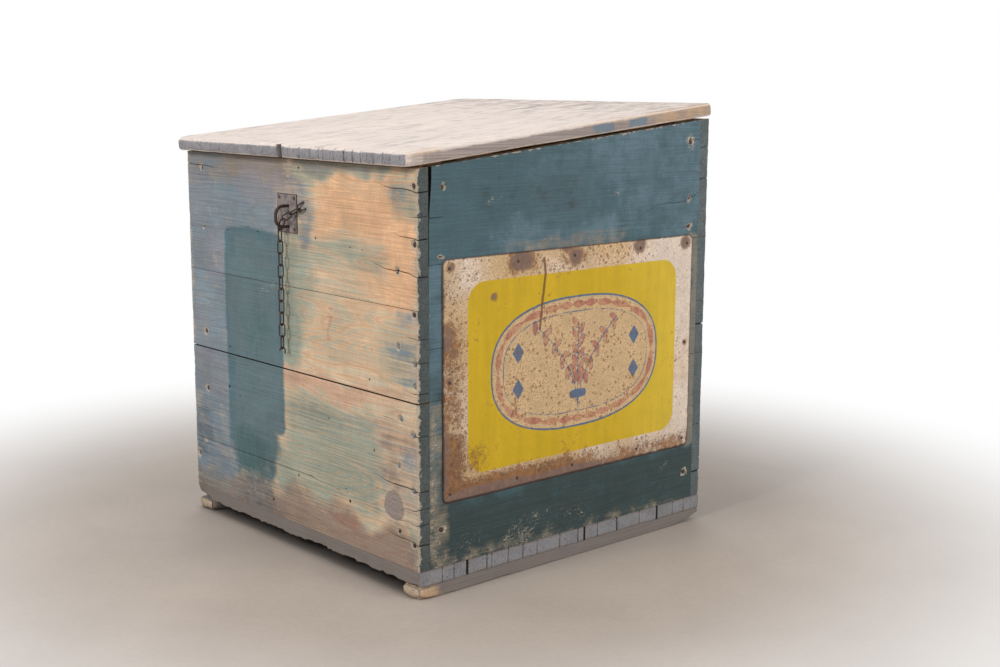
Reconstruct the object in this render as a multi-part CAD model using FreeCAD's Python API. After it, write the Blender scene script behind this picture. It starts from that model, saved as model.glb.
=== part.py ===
import FreeCAD, Part
import math
import os
from FreeCAD import Vector

# Wooden bread delivery box with a sloping lid, hinged at the back, with a padlock staple and a chain.
# Millimetres. While it is built, x runs to the right from the left wall's outer face, y to the back
# from the front wall's outer face, and z up from the lower edge of the walls. save() then moves each
# piece so that the origin is the middle of the box's footprint, on the surface that it stands on.

# Walls
box_width = 587.0
box_depth = 577.0
front_height = 546.0
top_slope = 5.56  # degrees, the walls and the lid rise towards the back
wall_thickness = 19.0
low_board = 235.0  # width of the lowest board of every wall
front_middle_board = 125.0
side_middle_board = 184.0  # of the side walls and the back wall
open_joint = 1.6  # the front wall's lower joint has dried open
board_joint = 0.3

# Corner posts, which stand a little above the walls and carry the lid
post_size = 38.0
rest_gap = 0.2

# Floor and runners
floor_thickness = 22.0
floor_joints = (86.0, 317.0, 478.0)  # depths of the joints between the floor boards
runner_thickness = 19.0
runner_width = 42.0
runner_wear_length = 80.0  # the rear ends are worn round
runner_wear_rise = 12.0

# Lid
lid_thickness = 19.0
lid_over_front = 21.0
lid_over_back = 8.0
lid_over_left = 16.0
lid_over_right = 2.0
lid_left_board = 306.0
lid_round = 4.0
batten_width = 64.0
batten_thickness = 19.0
batten_end_gap = 6.0
batten_front_place = 88.0  # from the front face to the front batten
batten_back_place = 95.0  # from the back face to the rear batten

# Hinges
leaf_thickness = 1.6
leaf_gap = 0.8  # between the two leaves when the lid is shut
leaf_width = 18.0
leaf_length = 76.0
hinge_inset = 120.0  # from each side wall's face to the middle of the hinge
hinge_screw_shares = (-0.36, 0.0, 0.36)  # of the leaf's length from its middle
pin_radius = 1.6
pin_clearance = 0.05
knuckle_count = 5
knuckle_gap = 0.3
knuckle_room = 0.4  # around a turning knuckle
pin_head_radius = 2.6
pin_head_height = 1.2

# Padlock staple and its plate
staple_x = 289.0
staple_low_leg = 448.4
staple_high_leg = 478.6
staple_reach = 26.0  # how far it stands out of the front
staple_wire = 2.4  # radius
staple_bend = 12.0
staple_depth = 14.0  # in the wood
plate_width = 50.0
plate_height = 57.0
plate_thickness = 1.5
plate_left = 260.0
plate_bottom = 439.0
plate_nail_inset = 6.0

# Chain
link_wire = 1.05  # radius
link_inner_length = 17.8
link_inner_width = 6.3
link_gap = 0.2
drape_gap = 0.3
chain_reach = 12.0  # from the front face to the middle of the hanging links
drape_angle = 60.0  # degrees, slope of the link that lies over the staple's lower leg
drape_tail = 8.0  # length of that link beyond the leg
drape_over_leg = 0.75
chain_rise = 28.3  # degrees, slope of the two links from there up to the anchor
anchor_link_gap = 0.05  # from the link near the anchor to the wall
link_turns = (0.0, 90.0, 0.0, 90.0, 0.0, 90.0, 20.0, 110.0, 35.0, 120.0)  # degrees about the vertical
broken_long = 5.0  # lengths left of the broken end link's two sides
broken_short = 1.5

# Chain anchor
anchor_wire = 1.25  # radius
anchor_half = 5.3  # half of the loop's outer run
anchor_run = 12.5  # from the loop's outer run back to the legs
anchor_bend = 3.0
anchor_depth = 12.0

# Sign
sign_left = 41.0  # from the front face
sign_width = 504.0
sign_bottom = 88.0
sign_height = 337.0
sign_thickness = 0.6
sign_corner = 10.0
sign_nail_inset = 13.0
sign_nail_columns = (0.0, 0.26, 0.49, 0.78, 1.0)  # shares of the way between the corner nails

# Fasteners: length, shank radius, head radius, head height
wall_nail = (51.0, 1.4, 3.4, 1.2)
runner_nail = (38.0, 1.4, 3.4, 1.2)
batten_nail = (32.0, 1.2, 2.8, 1.0)
plate_nail = (15.0, 0.9, 2.3, 0.8)
sign_nail = (16.0, 1.0, 2.5, 0.8)
hinge_screw = (25.0, 1.7, 3.4, 1.5)
lid_screw = (15.0, 1.7, 3.4, 1.5)
fit_clearance = 0.05
point_length = 3.0
point_radius = 0.2
tip_room = 0.5  # of a hole beyond the point
cut_margin = 1.0  # how far a hole or a notch starts outside the face that it is cut into

# Nail places on each board, from the lowest up: inset from the board's end, then height above the
# board's lower edge, or below its upper edge where it is negative
front_left_nails = [
    [(8.0, 41.0), (31.0, 63.0), (41.0, -66.0)],
    [(42.0, 26.0)],
    [(42.0, 61.0), (43.0, -29.5)],
]
front_right_nails = [
    [(11.0, 36.0), (43.0, 47.0), (11.0, 112.0), (43.0, 142.0), (11.0, 190.0), (38.0, -25.0)],
    [(7.0, 23.0), (7.0, 53.0), (43.0, 72.0), (8.0, -5.5)],
    [(43.0, 44.0), (7.0, 87.0), (8.0, -22.0)],
]
back_nails = [
    [(38.0, 40.0), (9.0, 120.0), (38.0, -24.0)],
    [(38.0, 30.0), (9.0, 90.0), (38.0, -24.0)],
    [(38.0, 30.0), (9.0, 100.0), (38.0, -30.0)],
]
side_front_nails = [
    [(40.0, 53.0), (50.0, -30.0)],
    [(50.0, 45.0), (50.0, -30.0)],
    [(40.0, 14.0), (42.5, -29.7)],
]
side_back_nails = [
    [(37.0, 44.0), (50.0, -30.0)],
    [(50.0, 45.0), (50.0, -30.0)],
    [(41.0, 20.0), (41.0, 69.0), (41.0, -32.0)],
]
floor_nail_columns = 4  # along the front and the back wall
floor_nail_shares = (0.25, 0.75)  # of each floor board's width, at its ends
corner_clear = 60.0  # no floor nail nearer to a corner
batten_nail_inset = 76.0
batten_nail_stagger = 14.0

# Sizes that follow from the ones above
slope = math.radians(top_slope)
back_height = front_height + box_depth * math.tan(slope)
lid_gap = 2 * leaf_thickness + leaf_gap
knuckle_radius = pin_radius + pin_clearance + leaf_thickness
hinge_back = knuckle_radius + 0.6
hinge_up = lid_gap / 2
post_rise = lid_gap - rest_gap
side_front = wall_thickness
side_back = box_depth - wall_thickness
front_joints = (low_board, low_board + front_middle_board)
side_joints = (low_board, low_board + side_middle_board)
link_half = link_inner_length / 2 + link_wire
link_bend = link_inner_width / 2 + link_wire
link_pitch = link_inner_length - link_gap
lid_left = -lid_over_left
lid_right = box_width + lid_over_right
lid_front_end = -(box_depth + lid_over_front) / math.cos(slope) + (lid_gap + lid_thickness) * math.tan(slope)
lid_back_end = lid_over_back / math.cos(slope) + lid_gap * math.tan(slope)
middle_x = (lid_left + lid_right) / 2
middle_y = (box_depth + lid_over_back - staple_reach) / 2
stand_height = floor_thickness + runner_thickness

X = Vector(1, 0, 0)
Y = Vector(0, 1, 0)
Z = Vector(0, 0, 1)
far = 2000.0


# Shapes

def box(x0, x1, y0, y1, z0, z1):
    return Part.makeBox(x1 - x0, y1 - y0, z1 - z0, Vector(x0, y0, z0))


def rod(radius, start, end):
    along = end - start
    return Part.makeCylinder(radius, along.Length, start, along)


def tilt(shape):
    """Move a shape from the lid's frame to the box's. In the lid's frame the origin is on the top rear
    edge of the walls, y runs back along the slope and z is square to it."""
    placed = shape.copy()
    placed.rotate(Vector(), X, top_slope)
    placed.translate(Vector(0, box_depth, back_height))
    return placed


def tilt_point(point):
    turned = FreeCAD.Rotation(X, top_slope).multVec(point)
    return turned + Vector(0, box_depth, back_height)


def below_slope(shape, rise):
    """Cut a shape off at the plane that lies rise above the tops of the walls."""
    return shape.cut(tilt(box(-far, far, -far, far, rise, far)))


def bent_wire(points, bend, radius):
    """A round wire along straight runs, with an arc of the radius bend at each inner point."""
    edges = []
    start = points[0]
    for before, corner, after in zip(points, points[1:], points[2:]):
        inward = (before - corner).normalize()
        outward = (after - corner).normalize()
        half_angle = inward.getAngle(outward) / 2
        setback = bend / math.tan(half_angle)
        first = corner + inward * setback
        last = corner + outward * setback
        bisector = (inward + outward).normalize()
        middle = corner + bisector * (bend / math.sin(half_angle) - bend)
        edges.append(Part.LineSegment(start, first).toShape())
        edges.append(Part.Arc(first, middle, last).toShape())
        start = last
    edges.append(Part.LineSegment(start, points[-1]).toShape())
    path = Part.Wire(edges)
    circle = Part.Circle(points[0], points[1] - points[0], radius).toShape()
    return path.makePipeShell([Part.Wire(circle)], True, False)


def turned(shape, centre, normal, along):
    """Place a shape that was made about the origin with its normal on y and its length on z."""
    rotation = FreeCAD.Rotation(normal.cross(along), normal, along, "ZXY")
    placed = shape.copy()
    placed.Placement = FreeCAD.Placement(centre, rotation)
    return placed


def half_ring(middle, direction):
    """Half of a link's end, in the plane x-z, bulging along direction, which is Z or -Z."""
    section = Part.Circle(middle + X * link_bend, Z, link_wire).toShape()
    face = Part.Face(Part.Wire(section))
    return face.revolve(middle, Y * (-direction.z), 180)


def chain_link():
    straight = link_half - link_bend
    top = Z * straight
    solids = [half_ring(top, Z), half_ring(-top, -Z)]
    for side in (-1, 1):
        place = X * (side * link_bend)
        solids.append(rod(link_wire, place - top, place + top))
    return solids[0].fuse(solids[1:]).removeSplitter()


def broken_link():
    top = Z * (link_half - link_bend)
    solids = [half_ring(top, Z)]
    for side, length in ((-1, broken_long), (1, broken_short)):
        place = top + X * (side * link_bend)
        solids.append(rod(link_wire, place - Z * length, place))
    return solids[0].fuse(solids[1:]).removeSplitter()


def rounded_plate(x, y0, y1, z0, z1, thickness, corner):
    sheet = box(x, x + thickness, y0, y1, z0, z1)
    uprights = [e for e in sheet.Edges if abs(e.tangentAt(e.FirstParameter).x) > 0.9]
    return sheet.makeFillet(corner, uprights)


# Fasteners and their holes

fasteners = {}
holes = []


def add_nail(group, point, direction, size, proud=0.0):
    """A round nail whose head's top is proud of point, and its hole."""
    length, shank, head, head_height = size
    seat = point - direction * proud
    neck = seat + direction * head_height
    tip = point + direction * length
    shoulder = tip - direction * point_length
    nail = rod(head, seat, neck).fuse([
        rod(shank, neck, shoulder),
        Part.makeCone(shank, point_radius, point_length, shoulder, direction),
    ])
    fasteners.setdefault(group, []).append(nail.removeSplitter())
    holes.append(rod(shank + fit_clearance, point, tip + direction * tip_room))
    if proud < head_height:
        holes.append(rod(head + fit_clearance, point - direction * cut_margin, neck))


def add_screw(group, point, direction, size):
    """A countersunk wood screw whose head is flush with point, and its hole."""
    length, shank, head, head_height = size
    neck = point + direction * head_height
    tip = point + direction * length
    shoulder = tip - direction * point_length
    screw = Part.makeCone(head, shank, head_height, point, direction).fuse([
        rod(shank, neck, shoulder),
        Part.makeCone(shank, point_radius, point_length, shoulder, direction),
    ])
    fasteners.setdefault(group, []).append(screw.removeSplitter())
    holes.append(rod(shank + fit_clearance, point, tip + direction * tip_room))
    holes.append(Part.makeCone(head + fit_clearance, shank + fit_clearance, head_height, point, direction))


def drill(shape):
    """Cut every hole that reaches the shape."""
    near = [hole for hole in holes if hole.BoundBox.intersect(shape.BoundBox)]
    return shape.cut(near) if near else shape


# Saved pieces

os.makedirs("parts", exist_ok=True)
pieces = {}


def save(name, shape):
    solid = drill(shape)
    solid.translate(Vector(-middle_x, -middle_y, stand_height))
    pieces[name] = solid
    solid.exportStep("parts/" + name + ".step")


def save_group(name, solids):
    group = Part.makeCompound(solids)
    group.translate(Vector(-middle_x, -middle_y, stand_height))
    pieces[name] = group
    group.exportStep("parts/" + name + ".step")


# Boards of the walls: name, lower edge, upper edge

def board_heights(joints, lowest_joint, top):
    return [
        ("low", 0.0, joints[0] - lowest_joint),
        ("middle", joints[0], joints[1] - board_joint),
        ("top", joints[1], top),
    ]


front_boards = board_heights(front_joints, open_joint, front_height)
side_boards = board_heights(side_joints, board_joint, back_height)


def slope_height(depth):
    return front_height + depth * math.tan(slope)


def nail_height(board, offset, depth):
    """Height of a nail on a board: above its lower edge, or below its upper one if negative."""
    name, low, high = board
    upper = slope_height(depth) if name == "top" else high
    return low + offset if offset > 0 else upper + offset


def nail_walls():
    for row, board in enumerate(front_boards):
        for inset, offset in front_left_nails[row]:
            place = Vector(inset, 0, nail_height(board, offset, 0))
            add_nail("wall_nails", place, Y, wall_nail)
        for inset, offset in front_right_nails[row]:
            place = Vector(box_width - inset, 0, nail_height(board, offset, 0))
            add_nail("wall_nails", place, Y, wall_nail)
    for row, board in enumerate(side_boards):
        for inset, offset in back_nails[row]:
            height = nail_height(board, offset, box_depth)
            for x in (inset, box_width - inset):
                add_nail("wall_nails", Vector(x, box_depth, height), -Y, wall_nail)
        places = side_front_nails[row] + [(box_depth - inset, offset) for inset, offset in side_back_nails[row]]
        for depth, offset in places:
            height = nail_height(board, offset, depth)
            add_nail("wall_nails", Vector(0, depth, height), X, wall_nail)
            add_nail("wall_nails", Vector(box_width, depth, height), -X, wall_nail)


def floor_spans():
    edges = (0.0,) + floor_joints + (box_depth,)
    return list(zip(edges, edges[1:]))


def nail_floor():
    for front, back in floor_spans():
        for share in floor_nail_shares:
            depth = front + share * (back - front)
            if corner_clear < depth < box_depth - corner_clear:
                for x in (wall_thickness / 2, box_width - wall_thickness / 2):
                    add_nail("floor_nails", Vector(x, depth, -floor_thickness), Z, wall_nail)
        depth = min((front + back) / 2, box_depth - runner_wear_length - 2 * wall_nail[2])
        for x in (runner_width / 2, box_width - runner_width / 2):
            add_nail("floor_nails", Vector(x, depth, -stand_height), Z, runner_nail)
    for column in range(floor_nail_columns):
        x = box_width * (column + 1) / (floor_nail_columns + 1)
        for depth in (wall_thickness / 2, box_depth - wall_thickness / 2):
            add_nail("floor_nails", Vector(x, depth, -floor_thickness), Z, wall_nail)


def make_walls():
    for name, low, high in front_boards:
        board = box(0, box_width, 0, wall_thickness, low, high if name != "top" else far)
        save("front_board_" + name, below_slope(board, 0))
    for name, low, high in side_boards:
        top = high if name != "top" else far
        back = box(0, box_width, side_back, box_depth, low, top)
        save("back_board_" + name, below_slope(back, 0))
        left = box(0, wall_thickness, side_front, side_back, low, top)
        save("left_board_" + name, below_slope(left, 0))
        right = box(box_width - wall_thickness, box_width, side_front, side_back, low, top)
        save("right_board_" + name, below_slope(right, 0))


def make_posts():
    left = wall_thickness
    right = box_width - wall_thickness - post_size
    front = side_front
    back = side_back - post_size
    places = {"front_left": (left, front), "front_right": (right, front),
              "back_left": (left, back), "back_right": (right, back)}
    for name, (x, y) in places.items():
        post = box(x, x + post_size, y, y + post_size, 0, far)
        save("corner_post_" + name, below_slope(post, post_rise))


def make_floor():
    for number, (front, back) in enumerate(floor_spans(), 1):
        last = back if back == box_depth else back - board_joint
        save("floor_board_%d" % number, box(0, box_width, front, last, -floor_thickness, 0))


def make_runner(name, x):
    """A square batten whose rear end is worn to an arc that leaves the flat underside smoothly."""
    wear_radius = (runner_wear_length ** 2 + runner_wear_rise ** 2) / (2 * runner_wear_rise)
    worn_from = box_depth - runner_wear_length
    half_turn = math.asin(runner_wear_length / wear_radius) / 2
    top = -floor_thickness
    bottom = -stand_height
    flat_end = Vector(x, worn_from, bottom)
    arc_middle = Vector(x, worn_from + wear_radius * math.sin(half_turn),
                        bottom + wear_radius * (1 - math.cos(half_turn)))
    arc_end = Vector(x, box_depth, bottom + runner_wear_rise)
    corners = [arc_end, Vector(x, box_depth, top), Vector(x, 0, top), Vector(x, 0, bottom), flat_end]
    edges = [Part.Arc(flat_end, arc_middle, arc_end).toShape()]
    edges += [Part.LineSegment(a, b).toShape() for a, b in zip(corners, corners[1:])]
    profile = Part.Face(Part.Wire(edges))
    save(name, profile.extrude(X * runner_width))


# Hinges, in the lid's frame

def hinge_centres():
    return {"left": hinge_inset, "right": box_width - hinge_inset}


def hinge_axis(x):
    return Vector(x, hinge_back, hinge_up)


def knuckle_spans(centre):
    step = leaf_length / knuckle_count
    left = centre - leaf_length / 2
    return [(left + step * k, left + step * (k + 1)) for k in range(knuckle_count)]


def hinge_leaf(centre, low, own):
    """A leaf whose plate starts at the height low, with the knuckles numbered in own."""
    leaf = box(centre - leaf_length / 2, centre + leaf_length / 2, -leaf_width, hinge_back,
               low, low + leaf_thickness)
    spans = knuckle_spans(centre)
    for k, (left, right) in enumerate(spans):
        if k not in own:
            clear = rod(knuckle_radius + knuckle_room, hinge_axis(left - knuckle_gap / 2),
                        hinge_axis(right + knuckle_gap / 2))
            leaf = leaf.cut(clear)
    for k in own:
        left, right = spans[k]
        start = left + (knuckle_gap / 2 if k > 0 else 0)
        end = right - (knuckle_gap / 2 if k < knuckle_count - 1 else 0)
        leaf = leaf.fuse(rod(knuckle_radius, hinge_axis(start), hinge_axis(end)))
    bore = rod(pin_radius + pin_clearance, hinge_axis(centre - leaf_length), hinge_axis(centre + leaf_length))
    return leaf.removeSplitter().cut(bore)


def hinge_pin(centre):
    left = hinge_axis(centre - leaf_length / 2 - pin_head_height)
    right = hinge_axis(centre + leaf_length / 2 + pin_head_height)
    heads = [rod(pin_head_radius, left, left + X * pin_head_height),
             rod(pin_head_radius, right - X * pin_head_height, right)]
    return rod(pin_radius, left, right).fuse(heads).removeSplitter()


def screw_hinges():
    down = tilt_point(-Z) - tilt_point(Vector())
    for centre in hinge_centres().values():
        for share in hinge_screw_shares:
            x = centre + share * leaf_length
            low = tilt_point(Vector(x, -wall_thickness / 2, leaf_thickness))
            add_screw("hinge_screws_wall", low, down, hinge_screw)
            high = tilt_point(Vector(x, -wall_thickness / 2, lid_gap - leaf_thickness))
            add_screw("hinge_screws_lid", high, -down, lid_screw)


def make_hinges():
    wall_knuckles = [k for k in range(knuckle_count) if k % 2 == 0]
    lid_knuckles = [k for k in range(knuckle_count) if k % 2 == 1]
    for side, centre in hinge_centres().items():
        save("hinge_leaf_wall_" + side, tilt(hinge_leaf(centre, 0, wall_knuckles)))
        save("hinge_leaf_lid_" + side, tilt(hinge_leaf(centre, lid_gap - leaf_thickness, lid_knuckles)))
        save("hinge_pin_" + side, tilt(hinge_pin(centre)))


# Lid

def lid_joint():
    return lid_left + lid_left_board


def round_top(board, edge_x):
    """Round the top arrises at both ends and along the outer side, which lies at edge_x."""
    top = lid_gap + lid_thickness
    chosen = []
    for edge in board.Edges:
        middle = edge.CenterOfMass
        outer = abs(middle.x - edge_x) < 0.01 or min(
            abs(middle.y - lid_front_end), abs(middle.y - lid_back_end)) < 0.01
        if abs(middle.z - top) < 0.01 and outer:
            chosen.append(edge)
    return board.makeFillet(lid_round, chosen)


def make_lid():
    """Two boards, with a shallow notch over each hinge that clears its knuckles."""
    low = lid_gap
    high = lid_gap + lid_thickness
    joint = lid_joint()
    left = box(lid_left, joint - board_joint, lid_front_end, lid_back_end, low, high)
    right = box(joint, lid_right, lid_front_end, lid_back_end, low, high)
    left = round_top(left, lid_left)
    right = round_top(right, lid_right)
    notch_room = knuckle_radius + knuckle_room
    for centre in hinge_centres().values():
        reach = leaf_length / 2 + pin_head_height + knuckle_room
        notch = box(centre - reach, centre + reach, hinge_back - notch_room, lid_back_end + cut_margin,
                    low - cut_margin, hinge_up + notch_room)
        left = left.cut(notch)
        right = right.cut(notch)
    save("lid_board_left", tilt(left))
    save("lid_board_right", tilt(right))


def batten_places():
    """Front edges of the two battens in the lid's frame."""
    front = (batten_front_place - box_depth) / math.cos(slope)
    back = -batten_back_place / math.cos(slope) - batten_width
    return {"front": front, "back": back}


def nail_battens():
    up = tilt_point(Z) - tilt_point(Vector())
    columns = (batten_nail_inset, lid_joint() - batten_nail_inset,
               lid_joint() + batten_nail_inset, box_width - batten_nail_inset)
    for front in batten_places().values():
        for number, x in enumerate(columns):
            stagger = batten_nail_stagger * (1 if number % 2 else -1)
            place = Vector(x, front + batten_width / 2 + stagger, lid_gap - batten_thickness)
            add_nail("batten_nails", tilt_point(place), up, batten_nail)


def make_battens():
    left = wall_thickness + batten_end_gap
    right = box_width - wall_thickness - batten_end_gap
    for name, front in batten_places().items():
        batten = box(left, right, front, front + batten_width, lid_gap - batten_thickness, lid_gap)
        save("lid_batten_" + name, tilt(batten))


# Padlock staple and its plate

def staple_shape(radius):
    """A U of round wire, with its legs in the wood."""
    out = -(staple_reach - staple_wire)
    points = [Vector(staple_x, staple_depth, staple_low_leg), Vector(staple_x, out, staple_low_leg),
              Vector(staple_x, out, staple_high_leg), Vector(staple_x, staple_depth, staple_high_leg)]
    return bent_wire(points, staple_bend, radius)


def nail_plate():
    for x in (plate_left + plate_nail_inset, plate_left + plate_width - plate_nail_inset):
        for z in (plate_bottom + plate_nail_inset, plate_bottom + plate_height - plate_nail_inset):
            place = Vector(x, -plate_thickness, z)
            add_nail("plate_nails", place, Y, plate_nail, proud=plate_nail[3])


def make_staple():
    for height in (staple_low_leg, staple_high_leg):
        outside = Vector(staple_x, -plate_thickness - cut_margin, height)
        inside = Vector(staple_x, staple_depth + tip_room, height)
        holes.append(rod(staple_wire + fit_clearance, outside, inside))
    plate = box(plate_left, plate_left + plate_width, -plate_thickness, 0,
                plate_bottom, plate_bottom + plate_height)
    save("staple_plate", plate)
    save_group("padlock_staple", [staple_shape(staple_wire)])


# Chain: one link lies over the staple's lower leg, two run up to the anchor and the others hang

leg = Vector(staple_x, -chain_reach, staple_low_leg)
drape = math.radians(drape_angle)
over_along = Vector(math.cos(drape), 0, math.sin(drape))
over_normal = Vector(-math.sin(drape), 0, math.cos(drape))
over_low = leg + over_normal * (staple_wire + link_wire + drape_over_leg) - over_along * drape_tail
over_centre = over_low + over_along * link_half
over_high = over_centre + over_along * link_half

wire_step = 2 * link_wire
near_place = link_half - wire_step - drape_gap
far_place = near_place + 2 * link_half - wire_step - drape_gap
wall_turn = math.asin((chain_reach - link_bend - link_wire - anchor_link_gap)
                      / (far_place + link_half - link_bend))
rise = math.radians(chain_rise)
run = Vector(math.cos(rise) * math.cos(wall_turn), math.sin(wall_turn), math.sin(rise) * math.cos(wall_turn))
run_normal = (Y - run * Y.dot(run)).normalize()
run_side = run.cross(run_normal)
near_centre = over_high + run * near_place
far_centre = over_high + run * far_place
anchor_tip = far_centre + run * (link_inner_length / 2 - anchor_wire - drape_gap)

hang_top = over_low + Z * (wire_step + link_gap)
hang_centres = [hang_top - Z * (link_half + link_pitch * k) for k in range(len(link_turns))]


def link_axis(turn):
    """Direction of the wire at a hanging link's lowest point."""
    angle = math.radians(turn)
    return Vector(math.cos(angle), math.sin(angle), 0)


def hanging(shape, centre, turn):
    return turned(shape, centre, Z.cross(link_axis(turn)), Z)


def anchor_shape(radius):
    outer_high = anchor_tip + run_side * anchor_half
    outer_low = anchor_tip - run_side * anchor_half
    inner_high = outer_high + run * anchor_run
    inner_low = outer_low + run * anchor_run
    points = [Vector(inner_high.x, anchor_depth, inner_high.z), inner_high, outer_high,
              outer_low, inner_low, Vector(inner_low.x, anchor_depth, inner_low.z)]
    return bent_wire(points, anchor_bend, radius)


def make_chain():
    link = chain_link()
    save_group("chain_link_over_staple", [turned(link, over_centre, over_normal, over_along)])
    save_group("chain_link_near_staple", [turned(link, near_centre, run_normal, run)])
    save_group("chain_link_near_anchor", [turned(link, far_centre, run_side, run)])
    save_group("chain_anchor", [anchor_shape(anchor_wire)])
    for number, (centre, turn) in enumerate(zip(hang_centres, link_turns), 1):
        save_group("chain_link_%02d" % number, [hanging(link, centre, turn)])
    end = hang_centres[-1] - Z * link_pitch
    save_group("chain_broken_link", [hanging(broken_link(), end, link_turns[-1] + 90)])


def anchor_holes():
    for side in (-1, 1):
        foot = anchor_tip + run_side * (side * anchor_half) + run * anchor_run
        outside = Vector(foot.x, -cut_margin, foot.z)
        inside = Vector(foot.x, anchor_depth + tip_room, foot.z)
        holes.append(rod(anchor_wire + fit_clearance, outside, inside))


# Sign

def nail_sign():
    face = Vector(box_width + sign_thickness, 0, 0)
    near = sign_left + sign_nail_inset
    low = sign_bottom + sign_nail_inset
    width = sign_width - 2 * sign_nail_inset
    height = sign_height - 2 * sign_nail_inset
    places = [(share, row) for share in sign_nail_columns for row in (0.0, 1.0)]
    places += [(0.0, 0.5), (1.0, 0.5)]
    for share, row in places:
        place = face + Y * (near + share * width) + Z * (low + row * height)
        add_nail("sign_nails", place, -X, sign_nail, proud=sign_nail[3])


def make_sign():
    sheet = rounded_plate(box_width, sign_left, sign_left + sign_width, sign_bottom,
                          sign_bottom + sign_height, sign_thickness, sign_corner)
    save("sign", sheet)


# The whole box. The sign is drilled before the walls are nailed, because it lies over some of their nails

nail_sign()
make_sign()

nail_walls()
nail_floor()
nail_battens()
nail_plate()
screw_hinges()
anchor_holes()

make_staple()
make_walls()
make_posts()
make_floor()
make_runner("runner_left", 0)
make_runner("runner_right", box_width - runner_width)
make_lid()
make_battens()
make_hinges()
make_chain()
for group, solids in fasteners.items():
    save_group(group, solids)

for name, shape in sorted(pieces.items()):
    print(name, len(shape.Solids), shape.isValid(), round(shape.Volume))
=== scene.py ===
import functools
import itertools
import math

import bpy
import numpy as np
from mathutils import Matrix, Vector


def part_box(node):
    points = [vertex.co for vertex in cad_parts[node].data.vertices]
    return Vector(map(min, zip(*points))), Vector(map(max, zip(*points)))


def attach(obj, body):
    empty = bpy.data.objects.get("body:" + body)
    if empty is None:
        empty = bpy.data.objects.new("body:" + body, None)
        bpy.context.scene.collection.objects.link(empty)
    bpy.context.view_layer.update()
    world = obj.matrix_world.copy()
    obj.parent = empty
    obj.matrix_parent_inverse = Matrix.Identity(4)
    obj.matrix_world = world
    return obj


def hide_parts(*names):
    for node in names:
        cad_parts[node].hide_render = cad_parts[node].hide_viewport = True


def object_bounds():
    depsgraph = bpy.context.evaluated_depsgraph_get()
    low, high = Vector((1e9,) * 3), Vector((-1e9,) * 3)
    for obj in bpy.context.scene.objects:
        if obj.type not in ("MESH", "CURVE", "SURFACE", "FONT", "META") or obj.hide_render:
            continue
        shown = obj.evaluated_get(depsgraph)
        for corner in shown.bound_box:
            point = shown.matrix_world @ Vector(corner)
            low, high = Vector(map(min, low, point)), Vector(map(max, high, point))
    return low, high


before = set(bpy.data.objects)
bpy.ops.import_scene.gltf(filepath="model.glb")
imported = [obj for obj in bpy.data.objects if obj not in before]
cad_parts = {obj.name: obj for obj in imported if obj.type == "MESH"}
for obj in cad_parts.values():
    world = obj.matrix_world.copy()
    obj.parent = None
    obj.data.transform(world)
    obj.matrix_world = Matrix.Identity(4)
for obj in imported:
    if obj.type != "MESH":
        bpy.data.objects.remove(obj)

CAD_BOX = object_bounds()

bl_info = {
    "name": "Bread delivery box",
    "version": (1, 0, 0),
    "blender": (4, 5, 0),
    "location": "3D View > Sidebar > Bread box",
    "description": "Weathered painted pine box with a sloping lid, a tin sign and a chain",
    "category": "Object",
}

# Wall places are millimetres: x from the left wall's face, y back from the front wall's face and z up
# from the lower edge of the walls. A board's own places are along its grain, across it and outwards,
# each from its lowest corner.
MM = 0.001
ORIGIN = np.array(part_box("front_board_low")[0])
WIDTH, DEPTH = (np.array(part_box("back_board_low")[1]) - ORIGIN)[:2] / MM


# Numbers and noise

def linear(hex_colour):
    """Linear RGBA of an sRGB hex colour."""
    channels = [int(hex_colour[i:i + 2], 16) / 255 for i in (1, 3, 5)]
    return tuple(c / 12.92 if c <= 0.04045 else ((c + 0.055) / 1.055) ** 2.4 for c in channels) + (1.0,)


def smooth(low, high, value):
    """3t² - 2t³, with t the share of the way from low to high, kept between 0 and 1."""
    t = np.clip((value - low) / (high - low), 0, 1)
    return t * t * (3 - 2 * t)


def noise(points, size, seed):
    """Smooth noise from -1 to 1: random values on a cubic lattice of that size, blended by 3t² - 2t³."""
    place = points / size
    cell = np.floor(place).astype(np.int64)
    part = place - cell
    part = part * part * (3 - 2 * part)
    total = np.zeros(len(points))
    for corner in itertools.product((0, 1), repeat=3):
        at = cell + np.array(corner)
        mixed = (at[:, 0] * 73856093) ^ (at[:, 1] * 19349663) ^ (at[:, 2] * 83492791) ^ (seed * 2654435761)
        mixed = ((mixed ^ (mixed >> 13)) * 1274126177) & 0x7FFFFFFF
        mixed = ((mixed ^ (mixed >> 15)) * 362437) & 0x7FFFFFFF
        weight = np.where(np.array(corner) == 1, part, 1 - part).prod(1)
        total += weight * (mixed / 0x3FFFFFFF - 1)
    return total


def fractal(points, size, seed, octaves=3):
    """Noise summed over octaves, each of half the size and half the weight of the one before."""
    return sum(noise(points, size / 2 ** k, seed + k) / 2 ** k for k in range(octaves))


# CAD nodes read from the frame

@functools.cache
def node_points(node):
    """Corners of a CAD node's triangles in metres, each once, and the triangles over them."""
    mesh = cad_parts[node].data
    corners = np.empty(len(mesh.vertices) * 3, np.float32)
    mesh.vertices.foreach_get("co", corners)
    mesh.calc_loop_triangles()
    triangles = np.empty(len(mesh.loop_triangles) * 3, np.int32)
    mesh.loop_triangles.foreach_get("vertices", triangles)
    points, index = np.unique(np.round(corners.reshape(-1, 3), 6), axis=0, return_inverse=True)
    return points.astype(float), index.ravel()[triangles].reshape(-1, 3)


@functools.cache
def solids_of(node):
    """Corners of each solid of a node: the lowest label spreads over shared corners until it rests."""
    points, triangles = node_points(node)
    label = np.arange(len(points))
    while True:
        spread = label.copy()
        np.minimum.at(spread, triangles.ravel(), np.repeat(label[triangles].min(1), 3))
        if (spread == label).all():
            return [points[label == one] for one in np.unique(label)]
        label = spread


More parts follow.
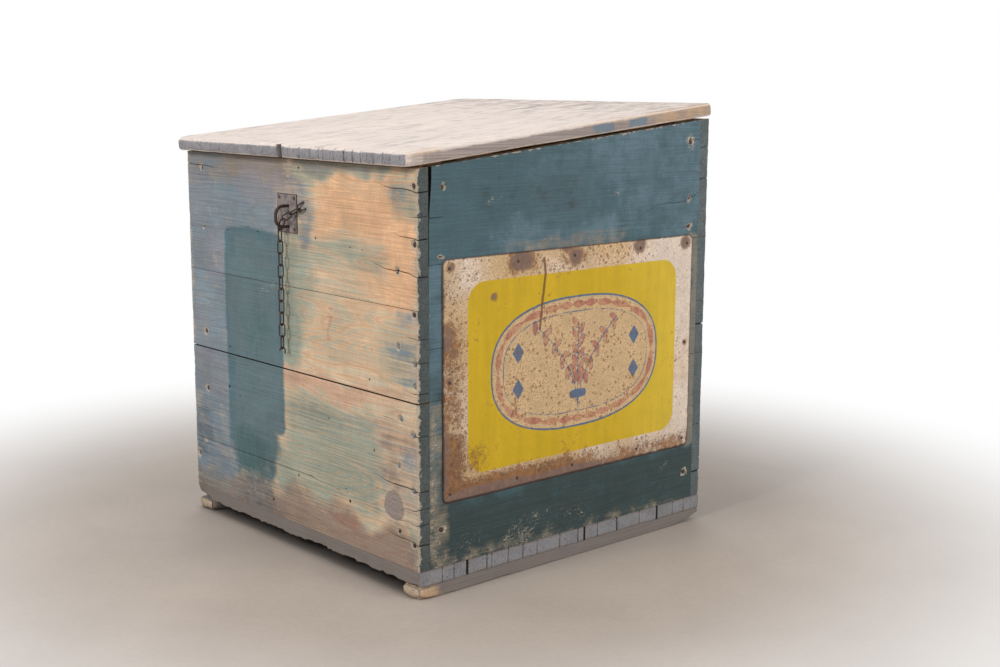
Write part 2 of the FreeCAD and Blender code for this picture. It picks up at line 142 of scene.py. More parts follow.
@functools.cache
def nails_of(node):
    """A row for each nail: its head's top in metres, its direction outwards, its length, its head's
    radius and its shank's, in mm. The long axis is the solid's main direction, with the head at its
    thicker end, and the shank is as thick as the solid is half way along."""
    rows = []
    for points in solids_of(node):
        middle = (points.min(0) + points.max(0)) / 2
        direction = np.linalg.eigh(np.cov((points - middle).T))[1][:, -1]
        along = (points - middle) @ direction
        away = np.linalg.norm(points - middle - along[:, None] * direction, axis=1)
        if along[away.argmax()] < 0:
            direction, along = -direction, -along
        shank = away[along < along.max() - 0.3 * np.ptp(along)].max()
        rows.append([*(middle + direction * along.max()), *direction, np.ptp(along) / MM,
                     away.max() / MM, shank / MM])
    return np.array(rows)


# Meshes from arrays

def make_mesh(name, points, faces, fields=None):
    """A smooth-shaded mesh object. Points are metres, faces are arrays of corner rows, and each field is
    one number per point, kept as an attribute that the material reads."""
    mesh = bpy.data.meshes.new(name)
    mesh.vertices.add(len(points))
    mesh.vertices.foreach_set("co", np.asarray(points, np.float32).ravel())
    sizes = np.concatenate([np.full(len(rows), rows.shape[1]) for rows in faces])
    corners = np.concatenate([rows.ravel() for rows in faces]).astype(np.int32)
    mesh.loops.add(len(corners))
    mesh.loops.foreach_set("vertex_index", corners)
    mesh.polygons.add(len(sizes))
    mesh.polygons.foreach_set("loop_start", (np.cumsum(sizes) - sizes).astype(np.int32))
    mesh.polygons.foreach_set("use_smooth", np.ones(len(sizes), bool))
    mesh.update(calc_edges=True)
    for field_name, values in (fields or {}).items():
        attribute = mesh.attributes.new(field_name, "FLOAT", "POINT")
        attribute.data.foreach_set("value", np.asarray(values, np.float32))
    thing = bpy.data.objects.new(name, mesh)
    bpy.context.scene.collection.objects.link(thing)
    return thing


def finish_piece(piece, body, slot, finish, *nodes):
    piece.data.materials.append(finish)
    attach(piece, body)
    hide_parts(*nodes)


# Boards: the surface of a block as a lattice in the board's own places, then worn

EDGE_LINES = (0.0, 0.3, 0.8, 1.5, 2.6, 4.2, 6.5)  # from each arris
NAIL_LINES = (-5.4, -4.4, -3.6, -1.8, 0.0, 1.8, 3.6, 4.4, 5.4)  # from each nail's middle
MARK_LINES = (-1.5, -0.8, 0.0, 0.8, 1.5)  # in radii, from a mark's middle
CLOSEST_LINES = 0.12
FAR = 60.0  # distance that stands for no worn arris near
UNWORN_RADIUS = 0.35


def stations(size, step, lines=()):
    """Places from 0 to size: even steps, closer ones by both ends, and the given lines."""
    edges = np.array(EDGE_LINES)
    fixed = np.concatenate([edges, size - edges, np.asarray(lines, float), [0, size]])
    fixed = np.unique(np.round(fixed[(fixed >= 0) & (fixed <= size)], 3))
    even = np.linspace(0, size, max(2, round(size / step) + 1))
    apart = np.abs(even[:, None] - fixed).min(1) > 0.35 * step
    places = np.unique(np.concatenate([fixed, even[apart]]))
    kept = np.concatenate([[True], np.diff(places[:-1]) > CLOSEST_LINES, [True]])
    return places[kept]


def block(us, vs, ts):
    """Surface of a block: the points of three station lists that lie on its outside, and its quads."""
    shell = np.zeros((len(us), len(vs), len(ts)), bool)
    shell[[0, -1]] = True
    shell[:, [0, -1]] = True
    shell[:, :, [0, -1]] = True
    index = np.cumsum(shell.ravel()).reshape(shell.shape) - 1
    points = np.stack(np.meshgrid(us, vs, ts, indexing="ij"), -1)[shell]
    sheets = [(index[:, :, -1], False), (index[:, :, 0], True), (index[:, 0], False),
              (index[:, -1], True), (index[-1], False), (index[0], True)]
    quads = []
    for sheet, flip in sheets:
        rows = np.stack([sheet[:-1, :-1], sheet[1:, :-1], sheet[1:, 1:], sheet[:-1, 1:]], -1).reshape(-1, 4)
        quads.append(rows[:, ::-1] if flip else rows)
    return points, np.concatenate(quads)


def round_arrises(points, size, radius):
    """Each point is pulled to the block that lies a radius inside, then pushed out again by the radius."""
    reach = np.minimum(radius[:, None], size / 2 - 0.01)
    inner = np.clip(points, reach, size - reach)
    out = points - inner
    length = np.maximum(np.linalg.norm(out / reach, axis=1, keepdims=True), 1e-6)
    return inner + out / length


def round_corners(points, size, radii):
    """Round a board's corners in its plan. Round each corner, square rings become circles: a point keeps
    its ring, which is the larger of its two offsets from the arc's middle, as its distance from it."""
    low = points[:, :2] < size[:2] / 2
    radius = np.select([low[:, 0] & low[:, 1], low[:, 0], low[:, 1]], [radii[0], radii[1], radii[2]],
                       radii[3])[:, None]
    inner = np.clip(points[:, :2], radius, size[:2] - radius)
    out = points[:, :2] - inner
    ring = np.abs(out).max(1, keepdims=True) / np.maximum(np.linalg.norm(out, axis=1, keepdims=True), 1e-9)
    return np.column_stack([inner + out * ring, points[:, 2]])


class Slope:
    """The walls' sloping top: its height at a depth, from the tops of the front and the back wall."""

    def __init__(self):
        points = node_points("right_board_top")[0]
        highest = points[points[:, 2].argmax()]
        front = points[points[:, 1] < points[:, 1].min() + MM / 2]
        lowest = front[front[:, 2].argmax()]
        self.rise = (highest[2] - lowest[2]) / (highest[1] - lowest[1])
        self.start = lowest[2] - lowest[1] * self.rise

    def height(self, y):
        return self.start + y * self.rise

    def cut(self, world, bottom, height):
        """Heights above a board's lower edge are scaled so that its upper edge follows the slope."""
        share = (self.height(world[:, 1]) - bottom) / height
        return np.column_stack([world[:, 0], world[:, 1], bottom + (world[:, 2] - bottom) * share])


SLOPE = Slope()


JOINT, WORN, CLEAN = 0, 1, 2  # a face that closes a joint, one whose arris has worn, and a sharp one


def board(node, axes, step=5.0, arris=1.2, wear=1.5, cracks=(), nails=None, worn=(WORN,) * 6,
          marks=(), sloping=False, crater=1.1, extra=None, plan=None, bend=None, seed=0):
    """A worn board in the place of a CAD node.

    cracks are rows of start, end, place, drift, width and depth, in the board's own mm: they run along
    the grain, open at their start and close at their end. marks are small pits, as rows of place along,
    place across and radius. worn says what each face is, low and high along each axis.
    extra gives more rounding by place, plan the radii of the four corners, and bend moves points at last.
    The fields are arris, the distance to a worn arris; end, 1 on end grain; hollow, in cracks, pits and
    the joints between boards;
    halo, 1 at a nail and 0 at 12 mm from it; and grain, a place to read the grain from, different for
    each board."""
    axes = np.array(axes, float)
    local = node_points(node)[0] @ axes.T
    low = local.min(0)
    size = (local.max(0) - low) / MM
    heads = np.empty((0, 3))
    if nails:
        rows = nails_of(nails)
        places = (rows[:, :3] @ axes.T - low) / MM
        facing = rows[:, 3:6] @ axes[2] > 0.9
        inside = ((places > -1) & (places < size + 2)).all(1) & (places[:, 2] > size[2] - 2)
        heads = places[facing & inside]
    if sloping:
        bottom = (low @ axes)[2]
        reach = SLOPE.height(((low + heads * MM) @ axes)[:, 1]) - bottom
        heads[:, 1] *= size[1] * MM / reach
    lines_u = [head[0] + d for head in heads for d in NAIL_LINES]
    lines_v = [head[1] + d for head in heads for d in NAIL_LINES]
    for u, v, radius in marks:
        lines_u += [u + radius * k for k in MARK_LINES]
        lines_v += [v + radius * k for k in MARK_LINES]
    for start, end, place, drift, width, depth in cracks:
        lines_v += [place + width * k for k in (-1.2, -0.5, 0.0, 0.5, 1.2)]
    flat, quads = block(stations(size[0], step, lines_u), stations(size[1], step, lines_v),
                        stations(size[2], step))
    u, v, t = flat.T
    grid = low / MM + flat
    reach = np.stack([u, size[0] - u, v, size[1] - v, t, size[2] - t], 1)
    joint = np.array(worn)[:4] == JOINT
    worn = np.array(worn) == WORN
    near = np.where(worn, reach, np.where(reach < 0.01, 0, FAR))
    near = np.sort(near, 1)[:, 1]
    radius = arris + wear * np.clip(fractal(grid, 34.0, seed) + 0.6 * fractal(grid, 7.0, seed + 9), 0, 2)
    if extra:
        radius += extra(u, v, t, size, grid)
    tight = np.where(worn, FAR, reach).min(1)
    radius = np.where(tight < 2.0, np.minimum(radius, UNWORN_RADIUS), radius)
    points = round_arrises(flat, size, radius)

    outer = t > size[2] - 0.01
    end_face = (u < 0.01) | (u > size[0] - 0.01)
    beside = np.stack([u, size[0] - u, v, size[1] - v], 1)
    hollow = ((beside < 0.01) & joint).any(1).astype(float)
    for start, end, place, drift, width, depth in cracks:
        share = (u - start) / (end - start)
        wander = drift * smooth(0, 1,
                                share) + 0.25 * drift * np.sin(share * 7.0) * ((share > 0) & (share < 1))
        wander += 0.5 * noise(grid, 9.0, seed + 5) * ((share > 0) & (share < 1))
        to_edge = np.where(v < place, v / place, (size[1] - v) / (size[1] - place))
        window = 1 - np.abs(v - place) / (14 + 2 * abs(drift))
        points[:, 1] += wander * np.clip(np.minimum(window, to_edge), 0, 1)
        open_here = np.sqrt(np.clip(1 - share, 0, 1)) * (share > -0.02)
        groove = np.clip(1 - np.abs(v - place) / (width / 2 + 0.01), 0, 1) * open_here
        points[:, 2] -= depth * groove * outer
        inward = np.sign(size[0] / 2 - u) * end_face
        points[:, 0] += inward * groove * min(12.0, 2.5 * depth) * (0.25 + 0.75 * t / size[2])
        hollow = np.maximum(hollow, groove * (outer | end_face))
    halo = np.zeros(len(flat))
    for head in heads:
        away = np.hypot(u - head[0], v - head[1])
        ragged = away * (1 + 0.25 * noise(grid, 4.0, seed + 7))
        points[:, 2] -= crater * (1 - smooth(3.6, 5.4, ragged)) * outer
        halo = np.maximum(halo, np.clip(1 - away / 12, 0, 1) * (t > size[2] - 6))
    for place_u, place_v, extent in marks:
        pit = 1 - smooth(0.5, 1.3, np.hypot(u - place_u, v - place_v) / extent)
        points[:, 2] -= pit * outer * min(extent, 2.5)
        hollow = np.maximum(hollow, pit * outer)
    if plan:
        points = round_corners(points, size, plan)
    if bend:
        points = bend(points, u, v, t, size, grid)
    world = (low + points * MM) @ axes
    if sloping:
        world = SLOPE.cut(world, bottom, size[1] * MM)
    fields = {"arris": near, "end": end_face.astype(float), "hollow": hollow, "halo": halo,
              "grain": np.full(len(flat), seed * 0.37)}
    return world, [quads], fields, flat


# Paint: soft patches over a wall's own places

def rounded_box(a, b, low_a, high_a, low_b, high_b, radius):
    """Signed distance to a rectangle with round corners, less than 0 inside."""
    da = np.abs(a - (low_a + high_a) / 2) - (high_a - low_a) / 2 + radius
    db = np.abs(b - (low_b + high_b) / 2) - (high_b - low_b) / 2 + radius
    return np.hypot(np.maximum(da, 0), np.maximum(db, 0)) + np.minimum(np.maximum(da, db), 0) - radius


def soft_box(a, b, patch):
    """1 inside a rectangle with round corners, 0 outside and between them over its softness, times its
    weight."""
    low_a, high_a, low_b, high_b, soft, weight = patch
    radius = min(soft, (high_a - low_a) / 2, (high_b - low_b) / 2)
    away = rounded_box(a, b, low_a, high_a, low_b, high_b, radius)
    return weight * (1 - smooth(-soft / 2, soft / 2, away))


def paint_fields(world, across, patches, sharp=()):
    """Most of any patch of each paint at each point. The places are first moved by noise, 14 mm far at
    most, so that no patch keeps a straight edge; those of a sharp paint are moved only 2 mm."""
    wall = (world - ORIGIN) / MM
    far = [14 * noise(wall, 60.0, 70 + k) + 5 * noise(wall, 17.0, 80 + k) for k in range(2)]
    fields = {}
    for paint, rows in patches.items():
        reach = 0.22 if paint in sharp else 1.0
        a, b = wall[:, across] + reach * far[0], wall[:, 2] + reach * far[1]
        fields[paint] = functools.reduce(np.maximum, [soft_box(a, b, patch) for patch in rows])
    return fields


# Where each paint is left on the front: left, right, bottom, top, softness and weight
FRONT_PAINT = {
    "old": [(104, 266, 215, 436, 14, 1.0), (104, 266, 128, 250, 18, 1.0), (106, 246, 60, 170, 44, 1.0),
            (116, 240, 46, 90, 44, 0.8)],
    "shade": [(185, 250, 60, 120, 40, 0.5), (150, 262, 250, 330, 60, 0.5), (122, 215, 48, 118, 40, 0.9),
              (104, 130, 380, 420, 20, 0.5)],
    "green": [(256, 310, 236, 440, 40, 1.0), (262, 350, 300, 440, 60, 0.8), (320, 520, 392, 440, 40, 0.62),
              (345, 500, 290, 395, 70, 0.26), (262, 500, 50, 205, 60, 0.8), (360, 500, 60, 150, 50, 0.8),
              (300, 540, 526, 560, 20, 0.85), (520, 600, 486, 524, 34, 0.7), (292, 345, 500, 550, 40, 0.7),
              (240, 310, 40, 120, 30, 0.85), (490, 620, 236, 350, 70, 0.55), (560, 600, 10, 60, 24, 0.7),
              (262, 500, 268, 300, 40, 0.35)],
    "orange": [(346, 620, 434, 520, 60, 1.0), (440, 590, 445, 505, 40, 1.3), (440, 620, 360, 470, 60, 1.05),
               (380, 560, 505, 530, 30, 0.8),
               (300, 620, 255, 385, 90, 0.42)],
    "peach": [(256, 480, 207, 240, 20, 0.95), (460, 570, 204, 240, 30, 0.55), (395, 470, 10, 54, 40, 0.62),
              (490, 600, 110, 205, 60, 0.45)],
    # The grey patch from 280 to 570 along the top edge is painted shadow of the lid's overhang; the other grey
    # patches are grime.
    "grey": [(-20, 300, 505, 570, 50, 1.05), (-20, 260, -40, 58, 70, 1.1), (-20, 110, 50, 160, 60, 0.6),
             (480, 620, 50, 200, 80, 0.5), (262, 510, 150, 196, 50, 0.28), (520, 620, 240, 330, 60, 0.28),
             (300, 346, 420, 500, 30, 0.5), (280, 570, 532, 580, 30, 0.8), (270, 330, 15, 50, 30, 0.4)],
    "soot": [(96, 236, -10, 64, 60, 0.48), (-20, 110, -20, 40, 50, 0.3), (-20, 60, 60, 130, 40, 0.4)],
    "blue": [(-20, 112, 140, 480, 30, 0.98), (-20, 262, 422, 512, 34, 1.0), (300, 350, 420, 520, 50, 0.42),
             (-20, 130, 30, 170, 50, 0.85), (-20, 120, 490, 560, 40, 0.5), (516, 600, 298, 318, 26, 0.55),
             (556, 600, 246, 268, 22, 0.6), (535, 600, 345, 364, 22, 0.55), (552, 600, 128, 162, 30, 0.62),
             (545, 600, -5, 24, 30, 0.6), (520, 560, 496, 516, 22, 0.5)],
    "violet": [(140, 320, 468, 528, 44, 0.75), (-20, 104, 150, 236, 50, 0.45), (20, 110, 340, 430, 50, 0.4),
               (150, 260, -10, 44, 40, 0.45), (-20, 60, 236, 300, 40, 0.45), (-20, 60, 430, 540, 40, 0.35)],
    "bottom": [(216, 640, -40, 44, 30, 0.95), (-20, 240, -40, 8, 20, 0.5), (260, 420, 20, 62, 30, 0.7)],
    "red": [(387, 394, 286, 322, 5, 0.75), (385, 396, 328, 335, 4, 0.75), (396, 450, 16, 54, 30, 0.4)],
    "bare": [(272, 308, 538, 560, 6, 1.0), (278, 302, 528, 541, 6, 1.0), (284, 296, 518, 530, 6, 1.0),
             (539, 548, 507, 514, 4, 1.0)],
    "scuff": [(-20, 110, -10, 70, 40, 0.56), (90, 262, 4, 64, 40, 0.62), (-20, 100, 370, 470, 60, 0.42),
              (572, 620, -20, 560, 16, 0.8),
              (-20, 110, 240, 340, 60, 0.45), (195, 245, 340, 366, 14, 0.66), (-20, 8, 240, 440, 10, 0.8),
              (60, 76, 366, 392, 8, 0.8), (45, 58, 446, 470, 8, 0.78), (300, 600, 50, 90, 40, 0.4),
              (-20, 104, 60, 240, 60, 0.38), (110, 260, 60, 200, 60, 0.34)],
}

# Cracks and small holes of the front boards, by row
FRONT_CRACKS = {
    "low": [(0, 58, 124.0, 1.0, 1.5, 4.0), (587, 486, 112.0, 9.0, 2.2, 5.0), (587, 545, 88.0, -9.0, 1.4, 4.0),
            (587, 505, 37.0, 9.0, 1.8, 4.0), (587, 572, 189.0, 0.5, 1.4, 3.0),
            (400, 330, 64.0, 6.0, 0.9, 1.6),
            (520, 440, 62.0, 10.0, 0.9, 1.2), (587, 500, 66.0, 4.0, 1.6, 3.0)],
    "middle": [(587, 570, 12.0, 0.5, 1.3, 4.0), (587, 566, 54.0, -0.5, 1.2, 3.0),
               (587, 560, 86.0, 2.0, 1.0, 2.0)],
    "top": [(0, 88, 160.5, -4.0, 1.9, 5.0), (587, 495, 160.0, 9.0, 2.0, 4.5), (587, 536, 94.0, 5.0, 1.8, 4.0),
            (587, 478, 44.0, 13.0, 1.8, 4.0), (0, 12, 60.0, 1.0, 1.6, 3.0), (587, 570, 124.0, 0.5, 1.0, 2.0)],
}
FRONT_MARKS = {
    "low": [(107, 180, 2.6), (139, 170, 1.2), (311, 81, 1.6), (420, 85, 1.5), (429, 52, 2.2), (299, 58, 1.6),
            (228, 19, 2.0), (488, 152, 1.6), (380, 178, 1.4)],
    "middle": [(113, 10, 1.5), (479, 16, 1.6)],
    "top": [(117, 62, 1.6), (202, 69, 1.8), (354, 73, 1.8), (438, 65, 1.4), (466, 63, 1.2), (314, 173, 2.0)],
}

RIGHT_PAINT = {
    "cloud": [(310, 480, 520, 620, 80, 0.9), (190, 320, 460, 560, 80, 0.5), (370, 500, 440, 560, 70, 0.65),
              (130, 380, 420, 466, 40, 0.95), (480, 580, 420, 620, 60, 0.8), (10, 60, 150, 430, 24, 0.7)],
    "deep": [(-20, 600, -40, 90, 40, 1.0), (120, 300, 480, 530, 80, 0.35), (-20, 60, 0, 260, 30, 0.5)],
    "dust": [(538, 566, 90, 420, 12, 1.25), (150, 400, 424, 446, 20, 0.55), (40, 540, -20, 10, 24, 0.4),
             (10, 44, -20, 230, 20, 0.62)],
    "scuff": [(50, 125, -5, 52, 40, 0.62), (150, 225, -10, 56, 40, 0.7), (215, 340, -10, 44, 40, 0.55),
              (470, 510, 50, 86, 30, 0.6), (338, 380, 482, 502, 18, 0.7), (130, 155, 498, 510, 14, 0.75),
              (224, 250, 436, 448, 14, 0.7), (14, 38, -10, 215, 16, 0.74), (16, 26, 310, 370, 10, 0.6),
              (10, 70, -10, 34, 40, 0.6), (110, 260, 440, 505, 60, 0.42), (522, 552, 548, 578, 14, 0.8),
              (30, 560, -20, 12, 20, 0.6), (420, 570, 20, 70, 50, 0.42), (-20, 600, -20, 620, 5, 0.12)],
}

LEFT_PAINT = {
    "cloud": [(60, 220, 120, 330, 80, 0.8), (300, 480, 380, 520, 80, 0.7)],
    "deep": [(-20, 600, -40, 60, 40, 1.0), (380, 560, 60, 240, 120, 0.45), (60, 200, 430, 520, 90, 0.4)],
    "scuff": [(-20, 600, -20, 32, 30, 0.62), (200, 330, 60, 130, 60, 0.5), (420, 520, 260, 330, 50, 0.5),
              (40, 120, 380, 430, 40, 0.5)],
}

BACK_PAINT = {
    "cloud": [(40, 260, 200, 420, 90, 0.8), (330, 560, 90, 260, 80, 0.7)],
    "deep": [(-20, 600, -40, 70, 40, 1.0), (280, 420, 330, 560, 80, 0.7)],
    "scuff": [(-20, 600, -20, 36, 30, 0.62), (120, 300, 80, 150, 60, 0.5), (380, 520, 420, 540, 70, 0.5)],
}

SIDE_CRACKS = {
    "low": [(0, 20, 186.0, 1.0, 0.8, 3.0), (539, 480, 150.0, 6.0, 0.7, 2.5)],
    "middle": [(0, 30, 70.0, 2.0, 0.8, 3.0)],
    "top": [(0, 26, 101.0, -2.0, 1.2, 4.0), (539, 395, 70.0, -26.0, 0.9, 1.0),
            (539, 520, 150.0, 3.0, 0.9, 3.5)],
}
BACK_CRACKS = {
    "low": [(0, 40, 118.0, 2.0, 1.0, 4.0), (587, 500, 60.0, 6.0, 1.0, 4.0), (0, 25, 39.0, -1.0, 2.4, 5.0)],
    "middle": [(0, 60, 83.0, -3.0, 0.9, 4.0), (587, 540, 120.0, 4.0, 0.9, 4.0), (0, 14, 46.0, 0.5, 3.0, 6.0)],
    "top": [(0, 70, 86.0, 4.0, 1.0, 4.0), (0, 40, 140.0, 2.0, 1.0, 4.0), (587, 470, 100.0, 10.0, 1.0, 4.0)],
}

# Cracks in the floor boards' ends, as depths from the front with their widths
FLOOR_CRACKS = [(41, 1.8), (62, 2.0), (123, 2.8), (132, 1.6), (163, 2.0), (192, 2.4), (220, 2.0), (266, 2.4),
                (304, 3.0), (345, 2.4), (388, 4.4), (438, 2.4), (515, 2.0), (541, 1.8)]


# Colours and sizes that a user would change

COLOURS = {
    "fresh_pine": ("Fresh pine", "Pine where the paint has worn away", "#e5b78f"),
    "pale_pine": ("Pale pine", "Lighter grain of the same", "#e6c5a2"),
    "cream_wash": ("Cream wash", "Thin cream left in the grain", "#dacaae"),
    "peach_wood": ("Peach wood", "Rosy bare wood", "#d3ae93"),
    "grey_pine": ("Grey pine", "Pine that has weathered grey", "#877f7b"),
    "inside_pine": ("Inside pine", "Unpainted wood inside the box", "#a98a66"),
    "green_paint": ("Green paint", "Pale green paint, worn thin", "#939f92"),
    # Grime, and also painted shadow under the lid along the front's top edge.
    "grey_film": ("Grey film", "Grime over old paint", "#7c7978"),
    "blue_paint": ("Blue paint", "Grey-blue paint of the left side", "#768b9a"),
    "violet_tint": ("Violet tint", "Mauve film over the blue", "#918a8e"),
    "old_teal": ("Old teal", "Patch of darker paint that something covered", "#527079"),
    "old_shade": ("Old paint, darker", "Deeper and greener parts of that patch", "#44615f"),
    "old_soot": ("Old grime", "Nearly black dirt low on the front", "#4c5152"),
    "side_teal": ("Side teal", "Paint of the side walls", "#4a666e"),
    "side_cloud": ("Side cloud", "Chalky bloom on that paint", "#617985"),
    "side_deep": ("Side deep", "Darker paint lower down", "#344342"),
    "dust": ("Dust", "Pale dirt that lies on the side", "#8d8474"),
    "strip_grey": ("Strip grey", "Paint on the back boards' end grain", "#5f686a"),
    "strip_slate": ("Strip slate", "Paint on the boards' end grain", "#4d5554"),
    "worn_bottom": ("Worn bottom", "Bare wood along the floor", "#907c70"),
    "chip": ("Chip", "Raw wood in chips and scratches", "#c6b8a5"),
    "knot": ("Knot", "Knot low on the right", "#8d8283"),
    "red_mark": ("Red mark", "Faded red strokes", "#c9775c"),
    "lid_top": ("Lid top", "Sun-bleached wood", "#e9dbd1"),
    "lid_streak": ("Lid streak", "Greyer grain of the lid", "#c9bfbb"),
    "lid_end": ("Lid end", "Grey end grain", "#969498"),
    "lid_grime": ("Lid grime", "Grey-violet dirt on the lid's right side", "#a09490"),
    "lid_tan": ("Lid tan", "Rubbed edge of the lid", "#caa987"),
    "floor_end": ("Floor end", "Grey end grain of the floor", "#8d8c8f"),
    "floor_face": ("Floor face", "Worn wood of the floor and the runners", "#807771"),
    "stump": ("Runner end", "Crumbling end grain of the runners", "#bca791"),
    "iron": ("Iron", "Dark wrought iron", "#262120"),
    "iron_rust": ("Iron rust", "Brown rust on it", "#5f4536"),
    "nail_grey": ("Nail grey", "Heads that the wall's paint has covered", "#7f8283"),
    "nail_rust": ("Nail rust", "Rust on the nails", "#3f2b24"),
    "plate_grey": ("Plate grey", "Old paint on the staple's plate", "#978b88"),
    "sign_cream": ("Sign cream", "Ground of the tin sign", "#dcbb8e"),
    "sign_pale": ("Sign, bleached", "Paler parts of the cream", "#eedccb"),
    "sign_yellow": ("Sign yellow", "Panel of the tin sign", "#d2ae1a"),
    "sign_lemon": ("Sign lemon", "Paler yellow to the right", "#e6cb4a"),
    "sign_blue": ("Sign blue", "Lines on the tin sign", "#35638a"),
    "sign_red": ("Sign red", "Faded red on the tin sign", "#b86f5c"),
    "sign_rust": ("Sign rust", "Rust on the tin", "#734d36"),
    "sign_ochre": ("Sign ochre", "Fresh rust that has run", "#93663a"),
    "sign_purple": ("Sign purple", "Bare grey-brown steel", "#80695f"),
    "floor": ("Floor", "Studio floor", "#b2a69c"),
}

BoxColours = type("BoxColours", (bpy.types.PropertyGroup,), {
    "__doc__": "Colours of the woods, paints and metals",
    "__annotations__": {key: bpy.props.FloatVectorProperty(
        name=label, description=about, subtype="COLOR", size=4, min=0, max=1, default=linear(hex_colour))
        for key, (label, about, hex_colour) in COLOURS.items()},
})


class BoxSizes(bpy.types.PropertyGroup):
    """Sizes of the wear and of the small parts"""
    wall_arris: bpy.props.FloatProperty(
        name="Wall arris", description="Least rounding of the walls' edges", default=0.0007, min=0,
        unit="LENGTH")
    wall_wear: bpy.props.FloatProperty(
        name="Wall wear", description="Further rounding where edges have worn", default=0.0018, min=0,
        unit="LENGTH")
    lid_arris: bpy.props.FloatProperty(
        name="Lid arris", description="Least rounding of the lid's edges", default=0.0042, min=0,
        unit="LENGTH")
    lid_wear: bpy.props.FloatProperty(
        name="Lid wear", description="Further rounding of the lid", default=0.0022, min=0, unit="LENGTH")
    floor_wear: bpy.props.FloatProperty(
        name="Floor wear", description="Rounding of the floor's ragged edge", default=0.003, min=0,
        unit="LENGTH")
    crater: bpy.props.FloatProperty(
        name="Nail crater", description="Depth of the hollow round a nail", default=0.0021, min=0,
        unit="LENGTH")
    nail_sink: bpy.props.FloatProperty(
        name="Nail sink", description="How far a wall nail's head lies below the wall's face", default=0.0005,
        min=0, unit="LENGTH")
    sign_buckle: bpy.props.FloatProperty(
        name="Sign buckle", description="How far the tin stands off between its nails", default=0.0011, min=0,
        unit="LENGTH")


def colour(key):
    return tuple(getattr(bpy.context.scene.bread_box_colours, key))


def size_mm(key):
    return getattr(bpy.context.scene.bread_box_sizes, key) / MM


# Materials

def add(tree, kind, settings=None, links=None):
    """A shader node with its settings, and with its inputs set to values or linked from sockets."""
    node = tree.nodes.new("ShaderNode" + kind)
    for name, value in (settings or {}).items():
        setattr(node, name, value)
    for key, value in (links or {}).items():
        if isinstance(value, bpy.types.NodeSocket):
            tree.links.new(value, node.inputs[key])
        else:
            node.inputs[key].default_value = value
    return node


def new_material(name):
    """A material with an empty tree, its output and its main shader."""
    made = bpy.data.materials.new(name)
    made.use_nodes = True
    tree = made.node_tree
    tree.nodes.clear()
    shader = add(tree, "BsdfPrincipled")
    add(tree, "OutputMaterial", links={"Surface": shader.outputs[0]})
    return made, tree, shader


def field(tree, name):
    return add(tree, "Attribute", {"attribute_name": name}).outputs["Fac"]


def own_place(tree):
    """The place on the object, moved off by its board's own step so that no two boards share a grain."""
    place = add(tree, "TexCoord").outputs["Object"]
    shift = field(tree, "grain")
    apart = add(tree, "CombineXYZ", links={0: shift, 1: shift, 2: shift}).outputs[0]
    return add(tree, "VectorMath", {"operation": "ADD"}, {0: place, 1: apart}).outputs[0]


def grain(tree, place, size, detail=4.0, rough=0.55, turn=(0.0, 0.0, 0.0)):
    """Noise from 0 to 1, whose features have a size in mm along each axis, turned where turn says so."""
    laid = add(tree, "Mapping", {"vector_type": "TEXTURE"},
               {"Vector": place, "Scale": [s * MM for s in size], "Rotation": turn}).outputs[0]
    return add(tree, "TexNoise", links={"Vector": laid, "Scale": 1.0, "Detail": detail,
                                        "Roughness": rough}).outputs[0]


def along(axis, length, width):
    """Feature sizes with the length along one axis and the width along the others."""
    return [length if k == axis else width for k in range(3)]


def over(tree, value, low, high, bottom=0.0, top=1.0):
    """A smooth step from bottom to top as a value goes from low to high."""
    return add(tree, "MapRange", {"interpolation_type": "SMOOTHSTEP"},
               {"Value": value, "From Min": low, "From Max": high, "To Min": bottom,
                "To Max": top}).outputs[0]


def sum_of(tree, first, *terms):
    """first plus each value times its weight."""
    for value, weight in terms:
        first = add(tree, "Math", {"operation": "MULTIPLY_ADD"}, {0: value, 1: weight, 2: first}).outputs[0]
    return first


def product(tree, *values):
    return functools.reduce(
        lambda a, b: add(tree, "Math", {"operation": "MULTIPLY"}, {0: a, 1: b}).outputs[0], values)


def larger(tree, *values):
    return functools.reduce(
        lambda a, b: add(tree, "Math", {"operation": "MAXIMUM"}, {0: a, 1: b}).outputs[0], values)


def blend(tree, share, below, above):
    return add(tree, "Mix", {"data_type": "RGBA"}, {0: share, 6: below, 7: above}).outputs[2]


def tone(tree, base, value, darker, lighter):
    """base made darker or lighter as a noise goes through its usual range."""
    level = over(tree, value, 0.28, 0.72, darker, lighter)
    grey = add(tree, "CombineColor", links={0: level, 1: level, 2: level}).outputs[0]
    return add(tree, "Mix", {"data_type": "RGBA", "blend_type": "MULTIPLY"},
               {0: 1.0, 6: base, 7: grey}).outputs[2]


def growth_rings(tree, place, axis, line, count=26.0):
    """Growth rings of a sawn board: the sine of a slow noise, so that its contours make long arches.
    The second value is 1 in the thin dark line where each ring ends."""
    slow = grain(tree, place, along(axis, 620.0, 75.0), 2.0, 0.45)
    phase = product(tree, sum_of(tree, slow, (line, 0.012)), 2 * math.pi * count)
    wave = add(tree, "Math", {"operation": "SINE"}, {0: phase}).outputs[0]
    return over(tree, wave, -1.0, 1.0), over(tree, wave, 0.55, 1.0)


def outer_face(tree, axis, face, sign):
    """1 on the wall's outer face: within a few mm of the plane, on the side that sign gives."""
    split = add(tree, "SeparateXYZ", links={0: add(tree, "TexCoord").outputs["Object"]}).outputs[axis]
    return over(tree, product(tree, split, sign), sign * face - 0.0065, sign * face - 0.0045)


